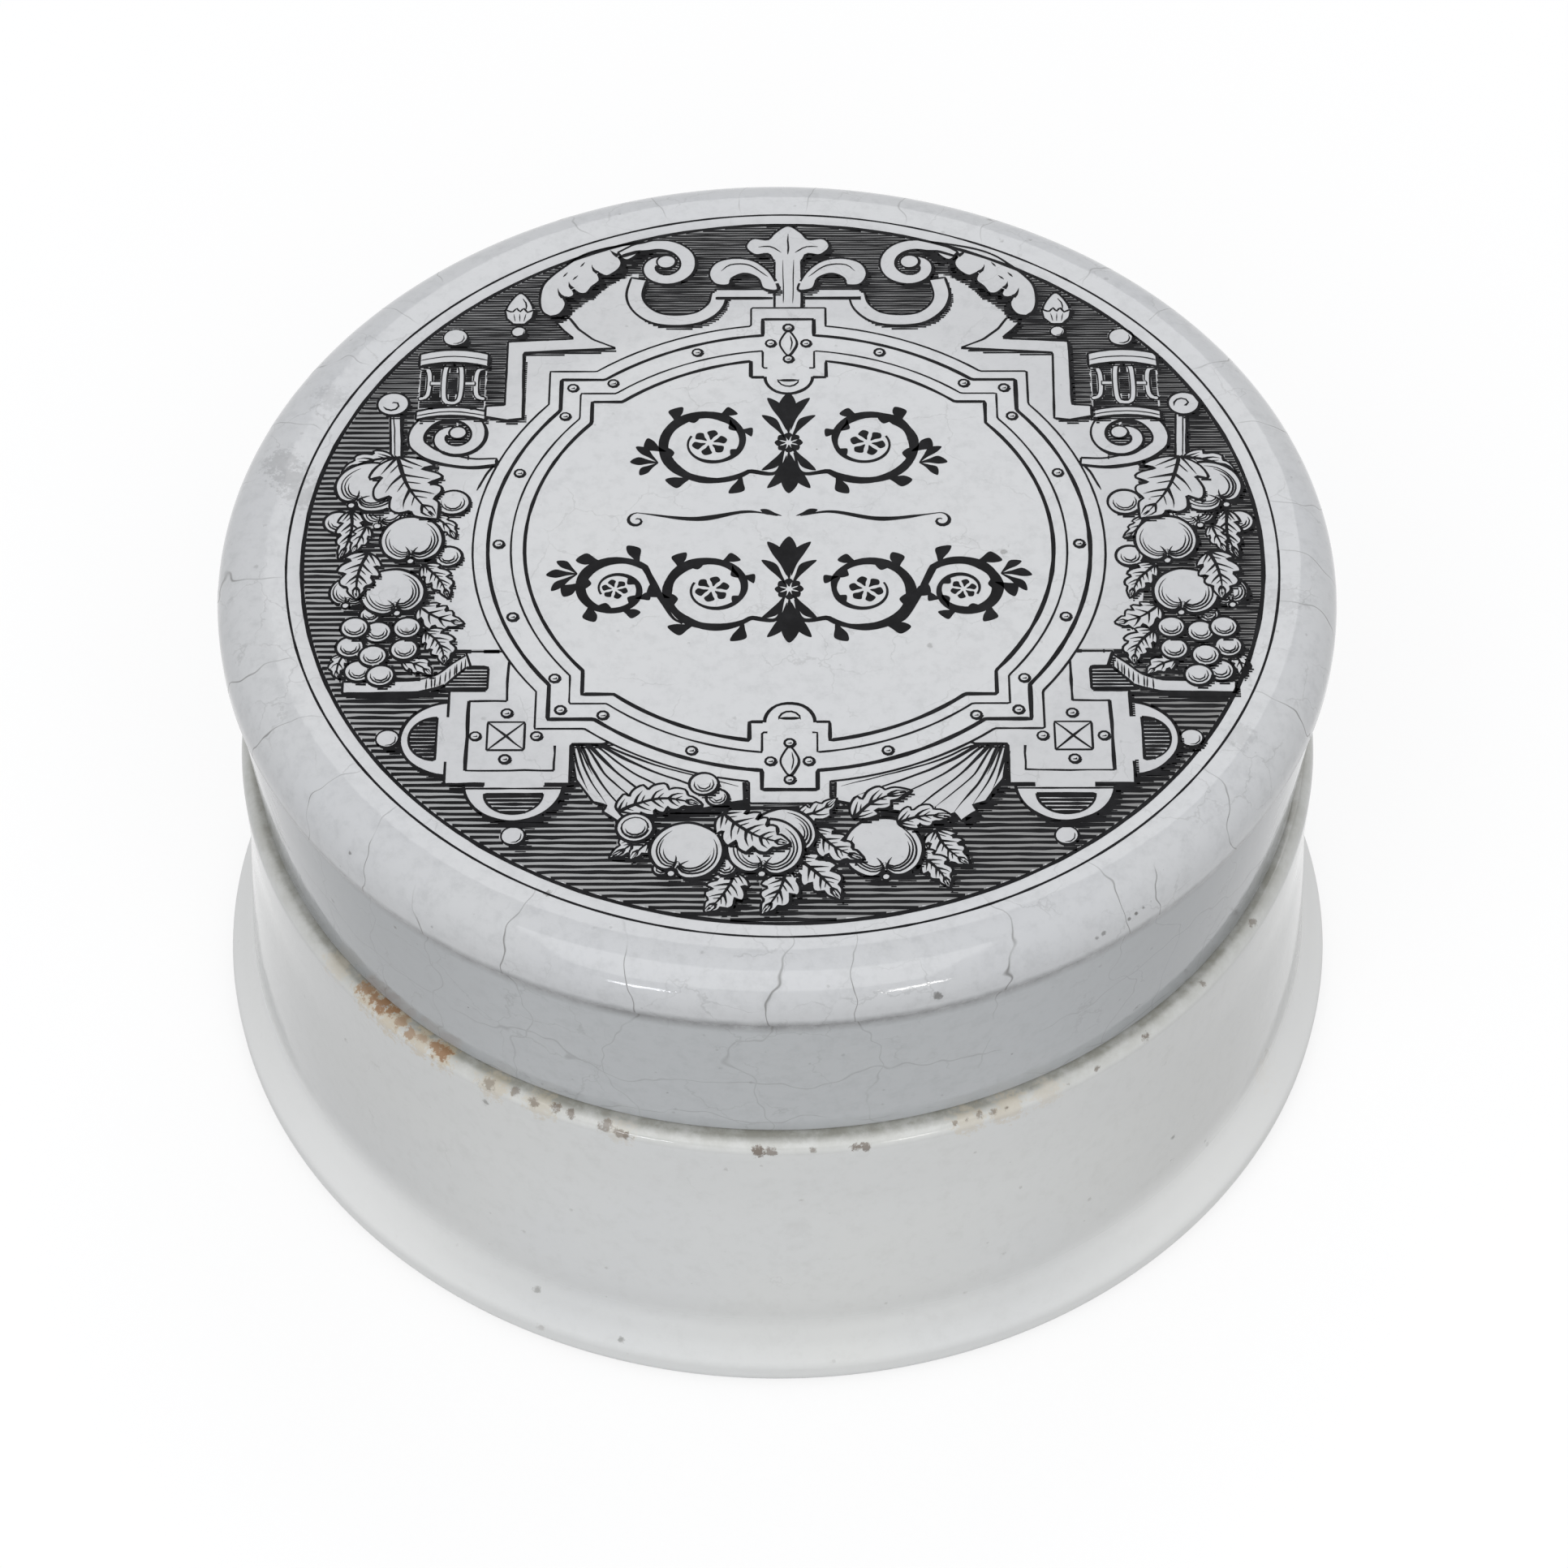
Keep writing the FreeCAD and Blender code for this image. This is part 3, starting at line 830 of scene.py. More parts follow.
def leafy_scroll(plate, centre, radius, start, hand, turns, fattest, lead):
    """One scroll of the running vine: its stem, leaves along its back, and a flower for its eye."""
    centre = np.asarray(centre, float)
    coil = spiral(centre, radius, radius * 0.36, start, turns, hand)
    stem = np.vstack([smooth(np.vstack([lead, coil[:1]]), False, 6)[:-1], coil])
    swelling(plate, stem, fattest, 0.45, 0.16)
    rosette(plate, centre, radius * 0.32, 6, start)
    side, ahead = normals(coil) * -hand, directions(coil)
    for share, length, fat in ((0.02, 2.0, 1.0), (0.13, 1.9, 1.1), (0.24, 1.8, 1.1), (0.35, 1.7, 1.05),
                               (0.46, 1.4, 0.9), (0.56, 1.1, 0.75)):
        index = int(share * (len(coil) - 1))
        root = coil[index] - side[index] * fattest * 0.2
        drop(plate, root, root + (side[index] * 0.62 + ahead[index] * 0.85) * length, fat, -0.3 * hand)
    for share, length in ((0.2, 1.3), (0.36, 1.2), (0.5, 1.1), (0.64, 0.9)):
        index = int(share * (len(coil) - 1))
        root = coil[index] + side[index] * fattest * 0.2
        drop(plate, root, root + (ahead[index] * 0.95 - side[index] * 0.6) * length, 0.55, 0.2 * hand)


def standard(plate, y, height):
    """The upright leaf spray at the middle of a row."""
    for sign in (-1, 1):
        drop(plate, (0, y + sign * 0.9), (0, y + sign * height), 1.3)
        for side in (-1, 1):
            for foot, reach, top, fat in ((0.25, 1.5, 0.9, 0.8), (0.05, 1.9, 0.55, 0.7)):
                root = (side * 0.15, y + sign * height * foot)
                drop(plate, root, (side * reach, y + sign * height * top), fat, side * sign * 0.3)
    rosette(plate, np.array([0.0, y]), 1.0, 8, 0)


def vine_row(plate, y, scrolls):
    """A vine that runs out both ways from the middle, under one scroll and over the next."""
    for sign in (-1, 1):
        lead = np.array([(sign * 0.4, y - 1.0), (sign * 0.9, y - scrolls[0][1] * 0.75)])
        for place, (x, radius) in enumerate(scrolls):
            hand = sign if place % 2 == 0 else -sign
            start = (180 if sign > 0 else 0) + 45 * hand
            leafy_scroll(plate, (sign * x, y), radius, start, hand, 1.45, 0.75, lead)
            turn = math.radians(-58 if hand == sign else 58)
            joint = np.array([sign * (x + radius * math.cos(turn)), y + radius * math.sin(turn)])
            lead = np.array([joint, joint + (sign * 0.9, -0.3 * math.sin(turn) * radius)])
        x, radius = scrolls[-1]
        rise = 1 if len(scrolls) % 2 == 0 else -1
        for tip_x, tip_y, fat in ((2.6, -0.1, 0.8), (2.2, -1.6, 0.7), (1.9, 1.2, 0.7)):
            drop(plate, (sign * (x + radius * 0.9), y + rise * radius * 0.5),
                 (sign * (x + radius * 0.75 + tip_x), y + rise * (radius * 0.5 + tip_y)), fat, 0.15 * sign)


def middle_ornament(plate):
    """Two rows of scrolls, each with a spray in its middle, and a thin divider between them."""
    for y, scrolls in ((9.9, ((5.6, 4.0),)), (-4.3, ((5.3, 3.8), (12.0, 2.9)))):
        vine_row(plate, y, scrolls)
        standard(plate, y, 5.0)
    for sign in (-1, 1):
        rule = curve_on_side(sign, 8, (0.8, 2.7), (3.0, 3.1), (6.5, 2.4), (10.6, 3.0))
        swelling(plate, rule, 0.4, 0.5, 0.07)
        coil = spiral((sign * 10.6, 2.25), 0.75, 0.15, 90, 1.1, -sign)
        swelling(plate, coil, 0.3, 0.5, 0.08)
        drop(plate, (sign * 0.5, 2.7), (sign * 2.0, 3.3), 0.5)


# The ground: ruled lines, finer at the back and heavier in the shadow of each motif

GROUND_RADIUS = 33.1
GROUND_PITCH = 0.5
FILM_PITCH = 0.25
FILM_DOWN = 0.008
FILM_GAP = 0.002
PRINT_TURN = math.radians(0.1)
PRINT_SHIFT = np.array([0.83, 0.16])
BORDER_SHIFT = np.array([0.385, -0.52])
BORDER_LINES = ((34.35, 0.17), (33.25, 0.3))
GROUND_DROP = BORDER_SHIFT - PRINT_SHIFT


def ground_rows(heights):
    """Level lines right across the ground, each with its number."""
    for place, y in enumerate(heights):
        reach = GROUND_RADIUS**2 - (y - GROUND_DROP[1]) ** 2
        if reach > 0.5:
            half = math.sqrt(reach)
            yield place, spaced([(GROUND_DROP[0] - half, y), (GROUND_DROP[0] + half, y)], INK_STEP)


def shadow_on(line, motifs):
    """How deep a line lies in the shadow of the motifs, at each point: 0, a half or 1."""
    shadow = np.zeros(len(line))
    for reach in (0.9, 1.7):
        covered = np.zeros(len(line), bool)
        cast = line - SHADOW_FALL * reach
        for _, outline, low, high in motifs:
            near = np.flatnonzero(~covered & (cast >= low).all(1) & (cast <= high).all(1))
            if len(near):
                covered[near[inside(cast[near], outline)]] = True
        shadow += covered * 0.5
    return shadow


def rule_ground(plate, motifs):
    """Rule the ground right across, inside the border. It is laid first and cut last."""
    heights = np.arange(-GROUND_RADIUS - 1, GROUND_RADIUS + 2, GROUND_PITCH / 2)
    for place, line in ground_rows(heights):
        behind = np.clip((line[:, 1] - 9) / 9, 0, 1)
        right = np.clip((line[:, 0] - 20) / 6, 0, 1) * np.clip((line[:, 1] + 14) / 6, 0, 1)
        fine = np.maximum(behind, 0.8 * right)
        shadow = shadow_on(line, motifs)
        if place % 2 == 0:
            width = 0.28 - 0.08 * fine + 0.07 * shadow
        else:
            width = np.maximum(0.15 * fine, 0.12 * shadow) + 0.02 * shadow * fine - 0.02
        width = width * (1 + plate.waver(len(line), 0.13))
        line[:, 1] += plate.waver(len(line), 0.02)
        for run in runs_of(width > 0.05, 2):
            plate.strokes.append((0, line[run], width[run], 0.8))


def film_ground(papers):
    """The thin film of ink that the plate leaves between the ruled lines."""
    film = Engraving(seed=9)
    film.papers = papers
    heights = np.arange(-GROUND_RADIUS, GROUND_RADIUS, FILM_PITCH) + GROUND_DROP[1]
    for _, line in ground_rows(heights):
        film.strokes.append((0, line, np.full(len(line), FILM_PITCH - FILM_GAP), 2 * GROUND_RADIUS))
    return film


def draw_print():
    """The whole engraving: ground, strapwork, fruit, cartouche and middle ornament."""
    plate = Engraving(seed=7)
    plate.level = 1
    for sign in (-1, 1):
        drapery(plate, sign)
        corner_mount(plate, sign)
        hanger(plate, sign)
        white_panel(plate, sign)
        side_volute(plate, sign)
        pedestal(plate, sign)
        acorn(plate, sign)
        looped_strap(plate, sign)
    for sign in (-1, 1):
        bracket(plate, sign)
        acanthus(plate, sign)
    crest(plate)
    cartouche(plate)
    for sign in (-1, 1):
        side_swag(plate, sign)
    lower_festoon(plate)
    rule_ground(plate, list(plate.papers))
    film = film_ground(list(plate.papers))
    middle_ornament(plate)
    return plate, film


def draw_border():
    """The thin and the thick line round the engraving."""
    plate = Engraving(seed=8)
    for radius, width in BORDER_LINES:
        line = spaced(circle_arc((0, 0), radius, 0, 360, 1), INK_STEP)
        plate.strokes.append((0, line, width * (1 + plate.waver(len(line), 0.12)), 0.9))
    return plate


# Turned shapes

def rounded(corners):
    """A profile of (radius, height, rounding) corners with each corner rounded."""
    points = []
    for index, (r, z, size) in enumerate(corners):
        here = np.array([r, z])
        if size == 0:
            points.append(here[None])
            continue
        before = np.array(corners[index - 1][:2]) - here
        after = np.array(corners[(index + 1) % len(corners)][:2]) - here
        before, after = before / np.hypot(*before), after / np.hypot(*after)
        half = math.acos(float(np.clip(before @ after, -1, 1))) / 2
        cut = size / math.tan(half)
        middle = here + (before + after) / np.hypot(*(before + after)) * size / math.sin(half)
        first, last = here + before * cut - middle, here + after * cut - middle
        start, end = math.atan2(first[1], first[0]), math.atan2(last[1], last[0])
        sweep = (end - start + math.pi) % (2 * math.pi) - math.pi
        count = max(4, int(abs(sweep) * size / 0.25) + 3)
        turn = start + np.linspace(0, 1, count) * sweep
        points.append(middle + size * np.stack([np.cos(turn), np.sin(turn)], 1))
    return np.vstack(points)


def filled(profile, step):
    """The profile with long straight runs divided."""
    out = [profile[:1]]
    for a, b in zip(profile, profile[1:]):
        count = max(1, int(math.ceil(np.hypot(*(b - a)) / step)))
        out.append(a + (b - a) * np.linspace(0, 1, count + 1)[1:, None])
    return np.vstack(out)


def lathe(name, profile, spokes, uneven):
    """Turn a closed profile that starts and ends on the axis."""
    profile = filled(profile, PROFILE_STEP)
    rings = profile[1:-1]
    turn = np.linspace(0, 2 * math.pi, spokes, endpoint=False)
    radius, height = (np.repeat(column[:, None], spokes, 1) for column in rings.T)
    turn = np.broadcast_to(turn, radius.shape)
    radius = radius + uneven(radius, turn)
    grid = np.stack([radius * np.cos(turn), radius * np.sin(turn), height], 2)
    points = np.vstack([grid.reshape(-1, 3), [[0, 0, profile[0][1]], [0, 0, profile[-1][1]]]]) * MM
    count = len(rings)
    index = np.arange(count * spokes).reshape(count, spokes)
    follower = np.roll(index, -1, axis=1)
    quads = np.stack([index[:-1], follower[:-1], follower[1:], index[1:]], 2).reshape(-1, 4)
    faces = quads.tolist()
    low, high = count * spokes, count * spokes + 1
    for pole, near, far in ((low, follower[0], index[0]), (high, index[-1], follower[-1])):
        faces += np.column_stack([np.full(spokes, pole), near, far]).tolist()
    piece = new_piece(name, points.tolist(), faces)
    piece.data.polygons.foreach_set("use_smooth", [True] * len(faces))
    piece.data.update()
    return piece


def ripple(size, seed):
    """The slight unevenness of a turned and fired wall."""
    chance = np.random.default_rng(seed)
    waves = [(k, chance.uniform(0, 2 * math.pi), chance.uniform(0.5, 1) / k) for k in (2, 3, 5)]

    def uneven(radius, turn):
        """How far the surface drifts outwards; nothing at the axis."""
        drift = sum(share * np.cos(k * turn + phase) for k, phase, share in waves)
        return size * drift * (radius > 1) * np.clip(radius / 30, 0, 1)

    return uneven


def pot_profile():
    """Foot, cove, slightly hollow wall, ledge, neck, well and recessed underside."""
    wall = [(WALL_RADIUS - 0.22, 9.5, 25.0), (SHOULDER_RADIUS - 0.12, 18.0, 40.0)]
    return rounded([
        (0, RECESS, 0), (RING_RADIUS, RECESS, 0.7), (RING_RADIUS + 0.1, 0.0, 0.6),
        (FOOT_RADIUS - 0.15, 0.0, 1.4), (FOOT_RADIUS, 2.4, 1.3), (WALL_RADIUS, 5.4, 3.2), *wall, (SHOULDER_RADIUS, LEDGE, 0.85),
        (NECK_RADIUS, LEDGE, 0.5), (NECK_RADIUS, RIM, 1.2), (WELL_RADIUS, RIM, 1.2),
        (WELL_RADIUS, WELL_FLOOR, 6.5), (0, WELL_FLOOR, 0),
    ])


def lid_profile():
    """Hollow, lower rim, tapering skirt, crease, rounded edge and flat crown."""
    return rounded([
        (0, CEILING, 0), (HOLLOW_RADIUS, CEILING, 2.4), (HOLLOW_RADIUS, LEDGE, 0.7), (SKIRT_RADIUS, LEDGE, 0.6),
        (LID_RADIUS - 0.35, LIP - 0.3, 0.6), (LID_RADIUS, LIP, 0.28), (LID_RADIUS, LID_TOP, 3.3),
        (0, LID_TOP, 0),
    ])


# Node helpers and shared effects

WHOLE_COAT = 1.0


class Nodes:
    """A short way to build a node tree."""

    def __init__(self, tree):
        self.tree = tree

    def feed(self, socket, value):
        """Link a socket to another one, or set it to a constant."""
        if isinstance(value, bpy.types.NodeSocket):
            self.tree.links.new(value, socket)
        elif socket.type == "RGBA" and len(value) == 3:
            socket.default_value = (*value, 1)
        else:
            socket.default_value = value

    def fill(self, node, inputs):
        """Feed a node's inputs by name."""
        for name, value in inputs.items():
            self.feed(node.inputs[name.replace("_", " ")], value)
        return node

    def add(self, kind, settings=(), **inputs):
        """A node with its settings made and its inputs fed."""
        node = self.tree.nodes.new(kind)
        for name, value in settings:
            setattr(node, name, value)
        return self.fill(node, inputs)

    def use(self, group, **inputs):
        """The mask that a shared effect puts out."""
        node = self.add("ShaderNodeGroup", [("node_tree", group)], **inputs)
        return node.outputs[0]

    def math(self, operation, *values):
        """A sum on numbers."""
        node = self.add("ShaderNodeMath", [("operation", operation)])
        for socket, value in zip(node.inputs, values):
            self.feed(socket, value)
        return node.outputs[0]

    def times(self, first, *others):
        """The product of masks and numbers."""
        for other in others:
            first = self.math("MULTIPLY", first, other)
        return first

    def inverse(self, mask):
        """1 where a mask is 0, and 0 where it is 1."""
        return self.math("SUBTRACT", 1.0, mask)

    def vector(self, operation, *values, **named):
        """A sum on vectors; a length or a distance comes out as a number."""
        node = self.add("ShaderNodeVectorMath", [("operation", operation)], **named)
        for socket, value in zip(node.inputs, values):
            self.feed(socket, value)
        return node.outputs["Value" if operation in ("LENGTH", "DISTANCE") else "Vector"]

    def noise(self, vector, scale, detail=3.0, roughness=0.55):
        """A cloudy mask."""
        node = self.add("ShaderNodeTexNoise", Vector=vector, Scale=scale, Detail=detail, Roughness=roughness)
        return node.outputs["Fac"]

    def band(self, value, low, high):
        """0 below low, 1 above high, and smooth between."""
        node = self.add("ShaderNodeMapRange", [("interpolation_type", "SMOOTHSTEP")],
                        From_Min=low, From_Max=high, Value=value)
        return node.outputs[0]

    def fading(self, vector, cover):
        """A mask that lets a share of the surface show, with soft ends."""
        low = self.math("SUBTRACT", 0.72, self.times(cover, 0.45))
        return self.band(self.noise(vector, 0.16, 2.0), low, self.math("ADD", low, 0.12))

    def mix(self, factor, below, above):
        """One colour over another, by a mask."""
        node = self.add("ShaderNodeMix", [("data_type", "RGBA")])
        for place, value in ((0, factor), (6, below), (7, above)):
            self.feed(node.inputs[place], value)
        return node.outputs[2]

    def coat(self, tone, *coats):
        """Lay coats over a tone, each given by its mask, its strength and its colour."""
        for mask, strength, colour in coats:
            tone = self.mix(mask if strength == WHOLE_COAT else self.times(mask, strength), tone, colour)
        return tone


def effect(name, output, **inputs):
    """Start a node group with one output and named inputs, each a number or a vector."""
    group = bpy.data.node_groups.new(name, "ShaderNodeTree")
    for label, default in inputs.items():
        kind = "NodeSocketVector" if default is None else "NodeSocketFloat"
        socket = group.interface.new_socket(label.replace("_", " "), in_out="INPUT", socket_type=kind)
        if default is not None:
            socket.default_value = default
    group.interface.new_socket(output, in_out="OUTPUT", socket_type="NodeSocketFloat")
    nodes = Nodes(group)
    given, result = nodes.add("NodeGroupInput"), nodes.add("NodeGroupOutput")
    return group, nodes, given.outputs, result.inputs[0]


def craze_group():
    """Hairline crazing in the glaze: the edges of wandering cells, fading in and out."""
    group, nodes, given, result = effect(
        "crazing", "Line", Vector=None, Cell_Size=8.0, Line_Width=0.1, Wander=1.5, Cover=0.5)
    vector, size = given["Vector"], given["Cell Size"]
    drift = nodes.add("ShaderNodeTexNoise", Vector=vector, Scale=0.35, Detail=4.0, Roughness=0.6)
    push = nodes.vector("SUBTRACT", drift.outputs["Color"], (0.5, 0.5, 0.5))
    moved = nodes.vector("ADD", vector, nodes.vector("SCALE", push, Scale=given["Wander"]))
    shrunk = nodes.vector("SCALE", moved, Scale=nodes.math("DIVIDE", 1.0, size))
    cells = nodes.add("ShaderNodeTexVoronoi", [("feature", "DISTANCE_TO_EDGE")], Vector=shrunk, Scale=1.0)
    line = nodes.inverse(nodes.band(nodes.times(cells.outputs["Distance"], size), 0.0, given["Line Width"]))
    nodes.feed(result, nodes.times(line, nodes.fading(vector, given["Cover"])))
    return group


def hairline_group():
    """Cracks that all run much the same way, across a given coordinate."""
    group, nodes, given, result = effect(
        "hairlines", "Line", Vector=None, Across=0.0, Spacing=7.0, Line_Width=0.1, Wander=5.0, Cover=0.6)
    vector, spacing = given["Vector"], given["Spacing"]
    drift = nodes.math("SUBTRACT", nodes.noise(vector, 0.11, 3.0, 0.5), 0.5)
    across = nodes.math("MULTIPLY_ADD", drift, given["Wander"], given["Across"])
    cells = nodes.add("ShaderNodeTexVoronoi", [("voronoi_dimensions", "1D"), ("feature", "DISTANCE_TO_EDGE")],
                      Scale=1.0, W=nodes.math("DIVIDE", across, spacing))
    line = nodes.inverse(nodes.band(nodes.times(cells.outputs["Distance"], spacing), 0.0, given["Line Width"]))
    nodes.feed(result, nodes.times(line, nodes.fading(vector, given["Cover"])))
    return group


def speck_group():
    """Small dark specks and pinholes of many sizes."""
    group, nodes, given, result = effect(
        "specks", "Speck", Vector=None, Spacing=3.0, Size=0.2, Share=0.3)
    vector, spacing = given["Vector"], given["Spacing"]
    spaced_out = nodes.vector("SCALE", vector, Scale=nodes.math("DIVIDE", 1.0, spacing))
    cells = nodes.add("ShaderNodeTexVoronoi", Vector=spaced_out, Scale=1.0)
    chance = nodes.add("ShaderNodeSeparateColor", Color=cells.outputs["Color"]).outputs
    ragged = nodes.math("MULTIPLY_ADD", nodes.noise(vector, 3.5, 3.0, 0.7), 2.4, -0.2)
    reach = nodes.times(cells.outputs["Distance"], spacing, ragged)
    size = nodes.times(given["Size"], nodes.math("POWER", chance[1], 3.0))
    dot = nodes.inverse(nodes.band(reach, nodes.times(size, 0.35), size))
    nodes.feed(result, nodes.times(dot, nodes.math("LESS_THAN", chance[0], given["Share"])))
    return group


def blotch_group():
    """Soft grime in patches, with a ragged edge."""
    group, nodes, given, result = effect("blotches", "Blotch", Vector=None, Scale=0.1, Amount=0.3)
    broad = nodes.noise(given["Vector"], given["Scale"], 5.0, 0.62)
    low = nodes.math("SUBTRACT", 0.75, nodes.times(given["Amount"], 0.4))
    nodes.feed(result, nodes.band(broad, low, nodes.math("ADD", low, 0.14)))
    return group


def mark_group():
    """One ragged mark: a chip, a spot of rust or a smudge, round a point."""
    group, nodes, given, result = effect("mark", "Mark", Vector=None, Centre=None, Reach=0.5, Ragged=0.8)
    vector = given["Vector"]
    gap = nodes.vector("DISTANCE", vector, given["Centre"])
    uneven = nodes.math("SUBTRACT", nodes.noise(vector, 2.0, 5.0, 0.75), 0.5)
    rough = nodes.times(uneven, given["Ragged"], 4.0)
    share = nodes.math("ADD", nodes.math("DIVIDE", gap, given["Reach"]), rough)
    nodes.feed(result, nodes.inverse(nodes.band(share, 0.5, 1.1)))
    return group


CRAZING, HAIRLINES, SPECKS = craze_group(), hairline_group(), speck_group()
BLOTCHES, MARK = blotch_group(), mark_group()


def start_material(name):
    """A material with an empty tree and its Principled shader."""
    material = bpy.data.materials.new(name)
    material.use_nodes = True
    tree = material.node_tree
    tree.nodes.clear()
    nodes = Nodes(tree)
    shader = nodes.add("ShaderNodeBsdfPrincipled")
    nodes.add("ShaderNodeOutputMaterial", Surface=shader.outputs[0])
    return material, nodes, shader


def millimetres(nodes):
    """The object's own coordinates, in millimetres."""
    coordinates = nodes.add("ShaderNodeTexCoord")
    return nodes.vector("MULTIPLY", coordinates.outputs["Object"], (1 / MM,) * 3)


def marked(nodes, place, marks, ragged):
    """The strongest of several marks, each given by its place, its reach and its strength."""
    total = None
    for *centre, reach, strength in marks:
        mark = nodes.use(MARK, Vector=place, Centre=centre, Reach=reach, Ragged=ragged)
        mark = nodes.times(mark, strength)
        total = mark if total is None else nodes.math("MAXIMUM", total, mark)
    return total


def unrolled(nodes, place, radius):
    """The height, the way round and the distance from the axis, of a turned shape."""
    x, y, up = nodes.add("ShaderNodeSeparateXYZ", Vector=place).outputs
    turn = nodes.math("ARCTAN2", x, nodes.times(y, -1.0))
    flat = nodes.add("ShaderNodeCombineXYZ", X=x, Y=y, Z=0.0)
    return up, nodes.times(turn, radius), nodes.vector("LENGTH", flat.outputs[0])


def beside(nodes, place):
    """1 at the pot's far left and right, 0 in front of it and behind."""
    x = nodes.add("ShaderNodeSeparateXYZ", Vector=place).outputs[0]
    return nodes.band(nodes.math("ABSOLUTE", x), 14.0, 35.0)


def bump(nodes, height, strength, distance):
    """The fine unevenness of a surface, as a normal."""
    return nodes.add("ShaderNodeBump", Strength=strength, Distance=distance, Height=height).outputs[0]


LID_SCRATCHES = (
    (23.1, -31.4, 40.1, 0.2, 0.7), (23.6, -31.0, 40.2, 0.2, 0.8), (24.1, -30.6, 40.3, 0.2, 0.8),
    (24.6, -30.2, 40.4, 0.18, 0.7), (22.9, -31.9, 39.6, 0.34, 0.75), (20.9, -32.9, 40.0, 0.22, 0.6),
    (21.4, -32.6, 40.1, 0.26, 0.6), (22.0, -32.3, 40.2, 0.2, 0.5), (9.6, -34.3, 25.6, 0.24, 0.8),
    (9.9, -34.2, 25.8, 0.2, 0.7), (8.8, -34.3, 25.1, 0.3, 0.8), (10.4, -37.5, 39.8, 0.4, 0.7),
    (15.7, -0.6, LID_TOP, 0.3, 0.5), (10.4, -9.4, LID_TOP, 0.28, 0.4),
)
LID_SMUDGES = (
    (-35.0, 8.1, LID_TOP, 1.5, 0.3), (-34.0, 6.5, LID_TOP, 1.7, 0.34), (-33.2, 4.9, LID_TOP, 1.4, 0.3),
    (-31.9, 14.6, LID_TOP, 1.3, 0.2), (34.8, -5.0, LID_TOP, 1.6, 0.16), (31.0, -17.6, LID_TOP, 1.2, 0.2),
)


GLAZE_IOR = 1.5
COOL_WHITE, CLEAR_WHITE = (0.55, 0.562, 0.585), (0.6, 0.607, 0.61)
# Painted shade: the darker colours of the lid's skirt, all round and at its far left and right.
SKIRT_SHADE, SKIRT_SIDE_SHADE = (0.36, 0.385, 0.4), (0.25, 0.265, 0.28)
LID_MOTTLE, LID_GRIME = (0.32, 0.33, 0.34), (0.30, 0.30, 0.29)
# The crease colour is painted shade under the lip; the ink tinge belongs to the print.
CREASE_SHADE, INK_TINGE = (0.18, 0.185, 0.19), (0.3, 0.3, 0.32)
CRACK_DIRT, LID_SPECK, LID_DUST = (0.11, 0.108, 0.1), (0.12, 0.115, 0.11), (0.2, 0.2, 0.2)
SMUDGE, SCRATCH = (0.16, 0.16, 0.165), (0.07, 0.065, 0.055)


